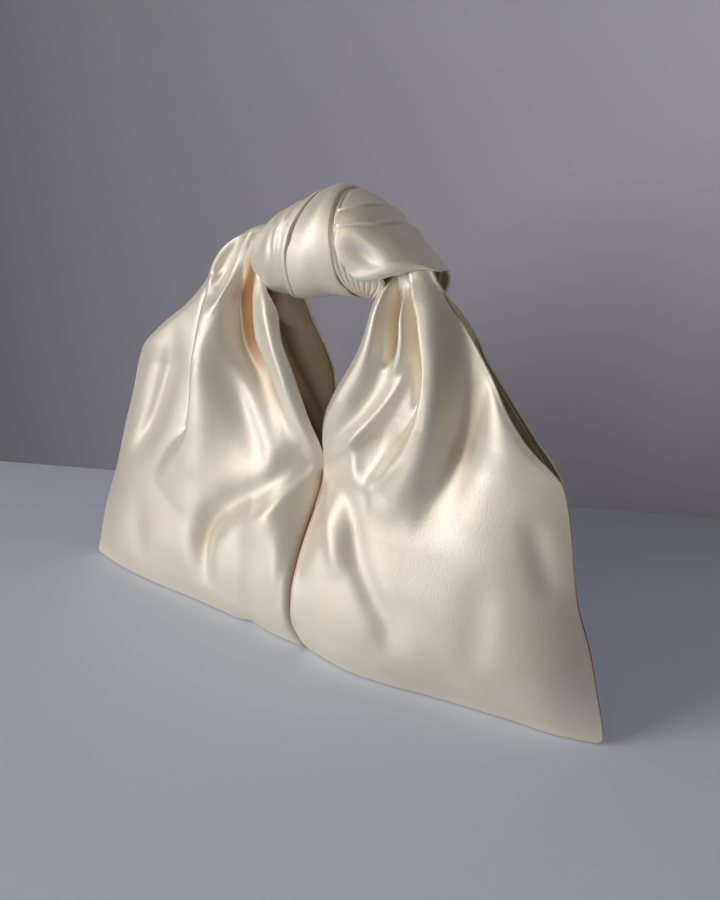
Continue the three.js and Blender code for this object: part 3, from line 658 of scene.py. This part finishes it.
def dye_and_fold_shade_group():
    """The colour of the cloth: two near tones of the dye, and painted shade, darker and warmer, inside the
    folds.
    """
    name = "Dyed cloth"
    if name in bpy.data.node_groups:
        return bpy.data.node_groups[name]
    g, given = new_group(
        name,
        [("Light dye", "Color", (0.9, 0.84, 0.7, 1)), ("Dark dye", "Color", (0.86, 0.78, 0.62, 1)),
         ("Hollow colour", "Color", (0.7, 0.6, 0.46, 1)), ("Fold colour", "Color", (0.8, 0.5, 0.25, 1)),
         ("Tone", "Float", 0.5), ("Fold depth", "Float", 0.0)],
        [("Colour", "Color")],
    )
    cloth_colour = node(g, "ShaderNodeMix", (-340, 80),
               {"Factor": given["Tone"], "A": given["Dark dye"], "B": given["Light dye"]}, data_type="RGBA")
    below = cloth_colour.outputs["Result"]
    # painted shade: the hollow shade comes in over the shallow folds and the warm fold shade over the deep ones
    for socket, start, end, at in (("Hollow colour", 0, 0.5, -80), ("Fold colour", 0.45, 1, 160)):
        share = node(g, "ShaderNodeMapRange", (at - 160, -240),
                     {"Value": given["Fold depth"], "From Min": start, "From Max": end},
                     interpolation_type="SMOOTHSTEP")
        painted_shade = node(g, "ShaderNodeMix", (at, 0), {"Factor": share.outputs[0], "A": below, "B": given[socket]},
                    data_type="RGBA")
        below = painted_shade.outputs["Result"]
    node(g, "NodeGroupOutput", (300, 0), {"Colour": below})
    return g


def satin(name, light, dark, painted_shade, rough=0.5, metal=0.44, bump=0.42, gloss_over=0.35):
    """A satin: dyed cloth with fine floats and painted shade in its folds, a broad gloss along the warp and a
    soft sheen.
    """
    if name in bpy.data.materials:
        return bpy.data.materials[name]
    m, t = new_material(name)
    t.nodes.clear()
    uv = node(t, "ShaderNodeUVMap", (-900, 0), uv_map="cloth")
    # the painted shade of the folds, as each mesh carries it
    depth = node(t, "ShaderNodeAttribute", (-640, -300), attribute_name="painted_fold_shade")
    weave = node(t, "ShaderNodeGroup", (-640, 0), {"Cloth": uv.outputs[0]}, node_tree=satin_weave_group())
    # painted shade colour for the shallow folds, between the dark dye and the warm fold shade
    hollow = [0.35 * a + 0.65 * b for a, b in zip(painted_shade, dark)]
    # the cloth's colour: the dye, with painted shade in the folds
    cloth_colour = node(t, "ShaderNodeGroup", (-340, 160), {
        "Light dye": (*light, 1), "Dark dye": (*dark, 1), "Hollow colour": (*hollow, 1),
        "Fold colour": (*painted_shade, 1), "Tone": weave.outputs["Tone"], "Fold depth": depth.outputs["Fac"],
    }, node_tree=dye_and_fold_shade_group())
    gloss = node(t, "ShaderNodeMapRange", (-340, -120),
                 {"Value": weave.outputs["Gloss"], "To Min": rough + 0.04, "To Max": rough - 0.04})
    relief = node(t, "ShaderNodeBump", (-80, -300),
                  {"Height": weave.outputs["Height"], "Strength": bump, "Distance": 0.00012})
    warp = node(t, "ShaderNodeTangent", (-80, -520), direction_type="UV_MAP", uv_map="cloth")
    shader = node(t, "ShaderNodeBsdfPrincipled", (400, 0), {
        "Base Color": cloth_colour.outputs[0], "Roughness": gloss.outputs[0], "Normal": relief.outputs[0],
        "Tangent": warp.outputs[0], "Metallic": metal, "Specular IOR Level": 0.5,
        "Anisotropic": 0.6, "Anisotropic Rotation": 0.25, "Coat Weight": gloss_over,
        "Coat Roughness": 0.44, "Sheen Weight": 0.12, "Sheen Roughness": 0.4,
    })
    node(t, "ShaderNodeOutputMaterial", (700, 0), {"Surface": shader.outputs[0]})
    return m


def snap_metal():
    name = "Plated snap"
    if name in bpy.data.materials:
        return bpy.data.materials[name]
    m, t = new_material(name)
    place = node(t, "ShaderNodeTexCoord", (-900, 0))
    scratch = node(t, "ShaderNodeTexNoise", (-640, 0),
                   {"Vector": place.outputs["Object"], "Scale": 900.0, "Detail": 5.0}).outputs["Fac"]
    rough = node(t, "ShaderNodeMapRange", (-340, 0), {"Value": scratch, "To Min": 0.2, "To Max": 0.42})
    tint = node(t, "ShaderNodeMix", (-340, 220),
                {"Factor": scratch, "A": (0.62, 0.6, 0.57, 1), "B": (0.72, 0.7, 0.67, 1)}, data_type="RGBA")
    fill(t, t.nodes["Principled BSDF"],
         {"Roughness": rough.outputs[0], "Base Color": tint.outputs["Result"], "Metallic": 1.0})
    return m


def plain_backdrop(name, colour, painted_light_spread):
    """A pale matt surface with faint clouds. Painted light makes it brighter to the right, in place of the
    fall-off of the window's light, and it is clear from behind.
    """
    m, t = new_material(name)
    place = node(t, "ShaderNodeTexCoord", (-900, 0))
    cloud = node(t, "ShaderNodeTexNoise", (-640, 0), {"Vector": place.outputs["Object"], "Scale": 3.0})
    dull, bright = [c * 0.97 for c in colour], [min(1, c * 1.03) for c in colour]
    tint = node(t, "ShaderNodeMix", (-340, 0),
                {"Factor": cloud.outputs["Fac"], "A": (*dull, 1), "B": (*bright, 1)}, data_type="RGBA")
    apart = node(t, "ShaderNodeSeparateXYZ", (-640, -260), {0: place.outputs["Object"]})
    # painted light: brighter to the right and darker to the left
    across = node(t, "ShaderNodeMapRange", (-340, -260), {
        "Value": apart.outputs["X"], "From Min": -0.3, "From Max": 0.45,
        "To Min": 1 / painted_light_spread, "To Max": painted_light_spread,
    })
    shade = node(t, "ShaderNodeMix", (-120, 0), data_type="RGBA", blend_type="MULTIPLY",
                 inputs={"Factor": 1, "A": tint.outputs["Result"], "B": across.outputs[0]})
    seen = node(t, "ShaderNodeNewGeometry", (-640, -460))
    front = node(t, "ShaderNodeMath", (-340, -460), {0: 1, 1: seen.outputs["Backfacing"]}, operation="SUBTRACT")
    fill(t, t.nodes["Principled BSDF"], {
        "Base Color": shade.outputs["Result"], "Alpha": front.outputs[0],
        "Roughness": 0.9, "Specular IOR Level": 0.2,
    })
    return m


# Settings


def colour_setting(name, description, default):
    return bpy.props.FloatVectorProperty(
        name=name, description=description, subtype="COLOR", size=3, default=default, min=0, max=1)


def length_setting(name, description, default, low, high):
    return bpy.props.FloatProperty(
        name=name, description=description, default=default, unit="LENGTH", min=low, max=high)


class KnotBagCloth(bpy.types.PropertyGroup):
    satin_colour: colour_setting("Satin", "Light tone of the outer satin", (0.93, 0.86, 0.725))
    satin_shade: colour_setting("Satin shade", "Darker tone of the outer satin", (0.885, 0.795, 0.635))
    # painted shade: the warm colour put deep inside the folds in place of their shade
    painted_fold_shade_colour: colour_setting("Fold colour", "Warm tone deep inside a fold", (0.4, 0.18, 0.05))
    lining_colour: colour_setting("Lining", "Tone of the lining", (0.93, 0.79, 0.59))
    satin_thickness: length_setting("Satin thickness", "Thickness of the outer cloth", 0.0011, 0.0004, 0.002)
    lining_thickness: length_setting("Lining thickness", "Thickness of the lining", 0.0006, 0.0003, 0.001)


class KnotBagKnot(bpy.types.PropertyGroup):
    wrap_thickness: length_setting(
        "Wrap thickness", "Thickness of a folded wrap of the knot", 0.0016, 0.0008, 0.003)
    pleat_height: length_setting("Pleat height", "How far the small pleats stand up", 0.0013, 0, 0.003)
    pleats: bpy.props.IntProperty(
        name="Pleats", description="How many small pleats lie beside the broad wrap", default=8, min=3, max=12)


class KnotBagStage(bpy.types.PropertyGroup):
    floor_colour: colour_setting("Floor", "Colour of the floor", (0.78, 0.84, 1.0))
    wall_colour: colour_setting("Wall", "Colour of the wall", (0.5, 0.49, 0.56))
    key_power: bpy.props.FloatProperty(
        name="Window light", description="Power of the large soft light, in watts", default=23.0, min=0)
    room_light: bpy.props.FloatProperty(
        name="Room light", description="Strength of the even light of the room", default=0.08, min=0)


# Operators

CLOTH = {}
LINING_GAP = 0.35
LEAST_FROM_MIDDLE = 0.1


def quarters():
    """The four quarters of cloth, worked out once and shared by the operators."""
    if not CLOTH:
        fields = {side: fold_field(side) for side in (LEFT, RIGHT)}
        for side in (LEFT, RIGHT):
            for face in (FRONT, BACK):
                field = fields[side] if face == FRONT else fields[-side]
                p, split, thin = quarter_cloth(side, face, field)
                n = grid_normals(p, np.array([0, face, 0]))
                CLOTH[side, face] = (p, n, split, painted_fold_shade(side, field), thin)
    return CLOTH


def side_word(side):
    return "left" if side == LEFT else "right"


def face_word(face):
    return "front" if face == FRONT else "back"


def bend_panel(piece):
    """Bakes a panel's place into its mesh."""
    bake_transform(piece)


def bend_strap(piece):
    """Bakes a strap's place into its mesh."""
    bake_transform(piece)


def satin_of(context):
    s = context.scene.knot_bag_cloth
    return satin("Ivory satin", s.satin_colour, s.satin_shade, s.painted_fold_shade_colour)


def lining_of(context):
    s = context.scene.knot_bag_cloth
    shade = [c * 0.94 for c in s.lining_colour]
    return satin("Champagne lining", s.lining_colour, shade, s.painted_fold_shade_colour, metal=0.05, bump=0.15,
                 gloss_over=0.2)


def outer_cloth(context, name, quarter, rows, seam_row):
    """The satin of some rows of a quarter, and its points. seam_row is where it meets the other rows."""
    p, n, _, painted_shade, thin = quarter
    thick = context.scene.knot_bag_cloth.satin_thickness / MM
    # the cloth carries the painted shade of its folds
    piece = doubled_cloth(name, p[rows], n[rows], thick * thin[rows], satin_of(context), mask=painted_shade[rows])
    keep_normals(piece, n[rows], seam_row)
    return piece, p[rows]


def add_to_knot(piece, p, cover=None):
    """A folded piece goes with the handle, and may stand for one of the solids."""
    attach(piece, "handle")
    if cover:
        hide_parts(cover)
    declare_sheet(p)


def seam_strip(context, covers, sheet, face_out, thickness, body):
    """One narrow strip of sewn cloth in place of a seam's solid."""
    n = grid_normals(sheet, np.array(face_out))
    piece = doubled_cloth(f"{covers}_cloth", sheet, n, thickness, satin_of(context))
    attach(piece, body)
    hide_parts(covers)


class KNOTBAG_OT_panels(bpy.types.Operator):
    """Builds the four cloth panels below the straps"""

    bl_idname = "knotbag.panels"
    bl_label = "Panels"

    def execute(self, context):
        for (side, face), quarter in quarters().items():
            name = f"{face_word(face)}_{side_word(side)}"
            piece, p = outer_cloth(context, f"{name}_panel", quarter, slice(0, quarter[2] + 1), -1)
            bend_panel(piece)
            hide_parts(f"{name}_shell")
            declare_sheet(p)
        return {"FINISHED"}


class KNOTBAG_OT_straps(bpy.types.Operator):
    """Builds the four gathered straps, which run up into the knot"""

    bl_idname = "knotbag.straps"
    bl_label = "Straps"

    def execute(self, context):
        for (side, face), quarter in quarters().items():
            word = side_word(side)
            name = f"{face_word(face)}_{word}"
            piece, p = outer_cloth(context, f"{name}_strap_cloth", quarter, slice(quarter[2], None), 0)
            bend_strap(piece)
            inner_nodes = [f"{word}_neck_gather", f"{word}_tail"] if face == FRONT else []
            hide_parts(f"{name}_strap", *inner_nodes)
            declare_sheet(p)
        return {"FINISHED"}


class KNOTBAG_OT_linings(bpy.types.Operator):
    """Builds the lining inside each panel and strap"""

    bl_idname = "knotbag.linings"
    bl_label = "Linings"

    def execute(self, context):
        s = context.scene.knot_bag_cloth
        for (side, face), (p, n, split, painted_shade, _) in quarters().items():
            inner = p - n * (s.satin_thickness / MM + LINING_GAP)
            middle = middle_y(p[..., 0], p[..., 2])
            too_near = face * (inner[..., 1] - middle) < LEAST_FROM_MIDDLE
            inner[..., 1] = np.where(too_near, middle + face * LEAST_FROM_MIDDLE, inner[..., 1])
            normals = grid_normals(inner, np.array([0, face, 0]))
            name = f"{face_word(face)}_{side_word(side)}"
            below_split = np.unique(np.append(np.arange(1, split + 1, 2), split))
            for part, rows, first, seam_row in (
                ("panel_lining", below_split, 8, -1),
                ("strap_lining_cloth", np.arange(split, len(p), 2), 3, 0),
            ):
                cols = np.unique(np.append(np.arange(first, COLUMNS - 2, 2), COLUMNS - 3))
                grid = np.ix_(rows, cols)
                # the lining takes half the painted shade of the folds
                piece = doubled_cloth(f"{name}_{part}", inner[grid], normals[grid], s.lining_thickness / MM,
                                      lining_of(context), mask=painted_shade[grid] * 0.5)
                keep_normals(piece, normals[grid], seam_row)
                if part == "panel_lining":
                    bend_panel(piece)
                    covers, held, on = f"{name}_lining", "stretched", f"{name}_panel"
                else:
                    bend_strap(piece)
                    covers, held, on = f"{name}_strap_lining", "gathered", f"{name}_strap_cloth"
                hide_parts(covers)
                declare_sheet(inner[grid])
        return {"FINISHED"}


class KNOTBAG_OT_base(bpy.types.Operator):
    """Builds the narrow base between the panels, with its lining"""

    bl_idname = "knotbag.base"
    bl_label = "Base"

    def execute(self, context):
        s = context.scene.knot_bag_cloth
        t = np.linspace(0, 1, 25)[None, :, None]
        for side in (LEFT, RIGHT):
            word = side_word(side)
            front, back = (quarters()[side, face][0][0] for face in (FRONT, BACK))
            for name, inset, low, thick, material, covers, slot in (
                ("base_cloth", 0.9, 0.9, s.satin_thickness, satin_of(context), "base_fold", "satin"),
                ("base_lining_cloth", 2.2, 1.9, s.lining_thickness, lining_of(context), "base_lining",
                 "lining"),
            ):
                a, b = front[4:, None].copy(), back[4:, None].copy()
                a[..., 1] += inset
                b[..., 1] -= inset
                b[..., 1] = a[..., 1] + np.maximum(b[..., 1] - a[..., 1], 0.4)
                p = mix(a, b, t)
                p[..., 2] = low + np.sin(np.pi * t[..., 0]) * 0.5
                n = grid_normals(p, np.array([0, 0, 1]))
                piece = doubled_cloth(f"{word}_{name}", p, n, min(thick / MM, low), material)
                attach(piece, "bag")
                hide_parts(f"{word}_{covers}")
                declare_sheet(p)
        return {"FINISHED"}


class KNOTBAG_OT_seams(bpy.types.Operator):
    """Builds the side seams and the turned-in cloth behind the centre seams"""

    bl_idname = "knotbag.seams"
    bl_label = "Seams"

    def execute(self, context):
        for side in (LEFT, RIGHT):
            p = quarters()[side, FRONT][0]
            top = int(np.searchsorted(p[:, 0, 2], SIDE_SEAM_TOP - 1))
            line = p[2:top, 0].copy()
            line[:, 1] = middle_y(line[:, 0], line[:, 2])
            q = np.linspace(0, 1, 7)[None, :, None]
            sheet = line[:, None] + np.array([side, 0, 0]) * mix(-6, -0.8, q)
            sheet[..., 1] += 0.2
            seam_strip(context, f"{side_word(side)}_side_seam", sheet, (0, 1, 0), 0.4, "bag")
        for face in (FRONT, BACK):
            p = quarters()[LEFT, face][0]
            top = int(np.searchsorted(p[:, -1, 2], MOUTH_HEIGHT - 1))
            line = p[3:top, -1].copy()
            line[:, 0] = 0
            q = np.linspace(0, 1, 6)[None, :, None]
            sheet = line[:, None] + np.array([0.25, 0, 0]) + np.array([0, -face, 0]) * mix(0.4, 6, q)
            limit = 0.8
            sheet[..., 1] = np.where(face * sheet[..., 1] < limit, face * limit, sheet[..., 1])
            word = face_word(face)
            seam_strip(context, f"{word}_centre_seam", sheet, (1, 0, 0), 0.5, f"{word}_panel")
        return {"FINISHED"}


class KNOTBAG_OT_left_wraps(bpy.types.Operator):
    """Builds the knot's left side: the under wrap and the broad wrap with its doubled edge"""

    bl_idname = "knotbag.left_wraps"
    bl_label = "Left wraps of the knot"

    def execute(self, context):
        thick = context.scene.knot_bag_knot.wrap_thickness / MM
        turn = np.linspace(-180, 180, 161)[:-1]

        def under(q, t, x, lo, hi):
            ripple = 0.9 * np.sin((x + 0.12 * t) / 3.4) * np.exp(-(((t - 70) / 70) ** 2))
            ripple += 0.7 * np.sin((x - 0.06 * t) / 5.1 + 2) * np.exp(-(((t + 100) / 80) ** 2))
            for crease in ([(-60, -31), (22, -30), (46, -27.5), (64, -26.5), (88, -25.5), (150, -27)],
                           [(-60, -22), (44, -18.5), (60, -20.5), (75, -20), (98, -22), (150, -24)]):
                line = np.exp(-(((x - smooth_values(crease, t)) / 1.8) ** 2))
                ripple -= 1.1 * line * soft_step(-30, 20, t) * (1 - soft_step(95, 135, t))
            ripple *= soft_step(0, 0.12, q)
            return ripple - 1.5 * (1 - soft_step(0, 0.1, q))

        def edge(q, t, x, lo, hi):
            return 1.7 - 4.0 * soft_step(0.13, 0.18, q) + 0 * x

        def broad(q, t, x, lo, hi):
            swell = 0.7 * np.sin(np.pi * np.clip(q, 0, 1)) + 0.2 * np.sin((x + 0.05 * t) / 3.3)
            return 2.0 + swell

        # painted shade on the doubled edge, where it runs in under the broad wrap's edge
        def painted_edge_shade(q, t, x):
            return soft_step(0.13, 0.18, q) * 0.8

        w1_right = [(t, x + 4) for t, x in W2_LEFT]
        w2_outer = [(t, x - smooth_values(EDGE_WIDTH, t)) for t, x in W2_LEFT]
        w2_behind = [(t, x + 12) for t, x in W2_LEFT]
        for name, left, right, cols, lift, painted_shade, cover in (
            ("knot_left_wrap", W1_LEFT, w1_right, 44, under, None, "knot_first_turn"),
            ("knot_wrap_edge", w2_outer, w2_behind, 60, edge, painted_edge_shade, None),
            ("knot_broad_wrap", W2_LEFT, W2_RIGHT, 44, broad, None, "knot_second_turn"),
        ):
            piece, p = knot_layer(name, left, right, turn, cols, lift, thick, satin_of(context), closed=True,
                                  painted_shade=painted_shade)
            add_to_knot(piece, np.concatenate([p, p[:1]]), cover)
        return {"FINISHED"}


class KNOTBAG_OT_pleats(bpy.types.Operator):
    """Builds the small pleats beside the broad wrap"""

    bl_idname = "knotbag.pleats"
    bl_label = "Pleats of the knot"

    def execute(self, context):
        s = context.scene.knot_bag_knot
        count, high = s.pleats, s.pleat_height / MM

        def lift(q, t, x, lo, hi):
            phase = q * count
            share = phase - np.floor(phase)
            ridge = np.sqrt(np.clip(1 - (2 * share - 1) ** 2, 0, 1))
            wide = np.clip((hi - lo) / 20, 0.5, 1)
            return -0.4 + high * ridge * wide + 1.4 * np.exp(-(((t - 146) / 20) ** 2))

        # painted shade in the grooves between the pleats
        def painted_groove_shade(q, t, x):
            return 0.5 * (1 - soft_step(0, 0.3, np.abs(q * count % 1 - 0.5) * -2 + 1))

        turn = np.linspace(-168, 168, 150)
        piece, p = knot_layer("knot_pleats", PLEATS_LEFT, PLEATS_RIGHT, turn, 8 * count + 1, lift, 0.9,
                              satin_of(context), painted_shade=painted_groove_shade)
        add_to_knot(piece, p, "knot_centre_pleats")
        return {"FINISHED"}


class KNOTBAG_OT_hood(bpy.types.Operator):
    """Builds the knot's right side: three stepped folds and the hood over the right strap"""

    bl_idname = "knotbag.hood"
    bl_label = "Hood of the knot"

    def execute(self, context):
        thick = context.scene.knot_bag_knot.wrap_thickness / MM

        def stack(height, end_from, hood=False):
            """A fold at this height. Its left end is tucked in from the turn end_from on."""
            def lift(q, t, x, lo, hi):
                dent = -2.4 * np.exp(-(((x - 28) / 7.5) ** 2) - (((t - 75) / 12) ** 2))
                low = soft_step(20, 60, t)
                tucked = -2.6 * (1 - soft_step(0, 2.2, x - lo)) * soft_step(end_from - 2, end_from + 4, t)
                rolled = 0.9 * np.exp(-(((x - lo - 1.1) / 0.8) ** 2))
                rolled = rolled * (1 - soft_step(end_from - 6, end_from, t))
                shape = height + dent + tucked + rolled
                if hood:
                    shape += 1.0 * np.exp(-(((hi - x - 5) / 3.5) ** 2)) * low
                    shape -= 1.6 * low * (1 - soft_step(0, 2.2, hi - x))
                return shape
            return lift

        for name, left, lift, last, cover in (
            ("knot_top_fold", MASS_LEFT, stack(1.8, -180), 62, None),
            ("knot_middle_fold", F2_LEFT, stack(3.0, 43), 74, None),
            ("knot_hood", F3_LEFT, stack(4.2, 60, True), 106, "knot_right_wrap"),
        ):
            turn = np.linspace(-170, last, 150)
            right = MASS_RIGHT if cover else [(t, x - 6) for t, x in MASS_RIGHT]
            piece, p = knot_layer(name, left, right, turn, 60, lift, thick, satin_of(context),
                                  inside=lining_of(context))
            add_to_knot(piece, p, cover)
        return {"FINISHED"}


class KNOTBAG_OT_snap(bpy.types.Operator):
    """Gives the two halves of the snap their plated finish"""

    bl_idname = "knotbag.snap"
    bl_label = "Snap"

    def execute(self, context):
        for name in ("snap_stud", "snap_socket"):
            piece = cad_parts[name]
            piece.data.materials.clear()
            piece.data.materials.append(snap_metal())
        return {"FINISHED"}


AZIMUTH, ELEVATION, ROLL = math.radians(35.5), math.radians(25.0), math.radians(1.5)
CAMERA_DISTANCE = 0.691
CAMERA_TARGET = Vector((0.0195, 0, 0.117))
FOCAL_PIXELS, LONG_SIDE_PIXELS, SENSOR = 1371, 900, 36.0
FLOOR_REACH, WALL_REACH = 4, 3
WALL_WAY, WALL_FOOT = Vector((0.877, 0.481, 0)), Vector((-0.1, 0.148, 0))
# painted light on the floor and the wall, in place of the window light's fall-off
FLOOR_PAINTED_LIGHT, WALL_PAINTED_LIGHT = 1.12, 2.4  # how much brighter the floor and the wall grow to the right
LIGHT_AIM = Vector((0, 0, 0.1))
# each light's place, its width, its share of the window light's power and its colour
LIGHTS = {
    "window_light": ((-0.98, -1.57, 0.62), 1.1, 1.0, (1.0, 0.985, 0.96)),
    "soft_light": ((0.7, -1.3, 1.2), 1.2, 0.05, (1.0, 0.96, 0.9)),
}
ROOM_COLOUR = (1.0, 0.9, 0.78, 1)


class KNOTBAG_OT_stage(bpy.types.Operator):
    """Builds the floor, the wall, the lights and the camera"""

    bl_idname = "knotbag.stage"
    bl_label = "Stage"

    def execute(self, context):
        s = context.scene.knot_bag_stage
        scene = context.scene

        def add(name, data):
            made = bpy.data.objects.new(name, data)
            scene.collection.objects.link(made)
            return made

        def sheet(name, corners, material):
            mesh = bpy.data.meshes.new(name)
            mesh.from_pydata(corners, [], [(0, 1, 2, 3)])
            mesh.materials.append(material)
            add(name, mesh)

        far = FLOOR_REACH
        sheet("floor", [(-far, -far, 0), (far, -far, 0), (far, far, 0), (-far, far, 0)],
              plain_backdrop("Pale floor", s.floor_colour, FLOOR_PAINTED_LIGHT))
        along = WALL_WAY.normalized() * WALL_REACH
        a, b, up = WALL_FOOT - along, WALL_FOOT + along, Vector((0, 0, WALL_REACH))
        sheet("wall", [tuple(a), tuple(b), tuple(b + up), tuple(a + up)],
              plain_backdrop("Pale wall", s.wall_colour, WALL_PAINTED_LIGHT))

        level = math.cos(ELEVATION)
        back = Vector((math.sin(AZIMUTH) * level, -math.cos(AZIMUTH) * level, math.sin(ELEVATION)))
        ahead = -back
        right = ahead.cross(Vector((0, 0, 1))).normalized()
        top = right.cross(ahead)
        turned_right = right * math.cos(ROLL) + top * math.sin(ROLL)
        turned_top = -right * math.sin(ROLL) + top * math.cos(ROLL)
        data = bpy.data.cameras.new("camera")
        data.sensor_fit = "AUTO"
        data.sensor_width = SENSOR
        data.lens = FOCAL_PIXELS * SENSOR / LONG_SIDE_PIXELS
        data.clip_start, data.clip_end = 0.02, 20
        camera = add("camera", data)
        pose = Matrix((turned_right, turned_top, back)).transposed().to_4x4()
        pose.translation = CAMERA_TARGET + back * CAMERA_DISTANCE
        camera.matrix_world = pose
        scene.camera = camera

        for name, (place, width, share, colour) in LIGHTS.items():
            lamp = bpy.data.lights.new(name, "AREA")
            lamp.shape = "RECTANGLE"
            lamp.size = lamp.size_y = width
            lamp.energy = share * s.key_power
            lamp.color = colour
            made = add(name, lamp)
            made.location = place
            made.rotation_euler = (LIGHT_AIM - Vector(place)).to_track_quat("-Z", "Y").to_euler()
        world = bpy.data.worlds.new("room")
        scene.world = world
        world.use_nodes = True
        fill(world.node_tree, world.node_tree.nodes["Background"],
             {"Color": ROOM_COLOUR, "Strength": s.room_light})
        scene.view_settings.view_transform = "Standard"
        return {"FINISHED"}


class KNOTBAG_PT_bag(bpy.types.Panel):
    """Lists the steps that build the bag"""

    bl_idname = "KNOTBAG_PT_bag"
    bl_label = "Knot Bag"
    bl_space_type = "VIEW_3D"
    bl_region_type = "UI"
    bl_category = "Knot Bag"

    def draw(self, context):
        layout = self.layout
        for step in STEPS:
            layout.operator(step.bl_idname)
        for name in SETTINGS:
            settings = getattr(context.scene, name)
            box = layout.box()
            for key in settings.bl_rna.properties.keys():
                if key not in ("rna_type", "name"):
                    box.prop(settings, key)


STEPS = (
    KNOTBAG_OT_panels,
    KNOTBAG_OT_straps,
    KNOTBAG_OT_linings,
    KNOTBAG_OT_base,
    KNOTBAG_OT_seams,
    KNOTBAG_OT_left_wraps,
    KNOTBAG_OT_pleats,
    KNOTBAG_OT_hood,
    KNOTBAG_OT_snap,
    KNOTBAG_OT_stage,
)
SETTINGS = {"knot_bag_cloth": KnotBagCloth, "knot_bag_knot": KnotBagKnot, "knot_bag_stage": KnotBagStage}


def register():
    for kind in (*SETTINGS.values(), *STEPS, KNOTBAG_PT_bag):
        bpy.utils.register_class(kind)
    for name, kind in SETTINGS.items():
        setattr(bpy.types.Scene, name, bpy.props.PointerProperty(type=kind))


def unregister():
    for name in SETTINGS:
        delattr(bpy.types.Scene, name)
    for kind in (KNOTBAG_PT_bag, *reversed(STEPS), *SETTINGS.values()):
        bpy.utils.unregister_class(kind)


def main():
    register()
    for step in STEPS:
        family, name = step.bl_idname.split(".")
        getattr(getattr(bpy.ops, family), name)()


if __name__ == "__main__":
    main()
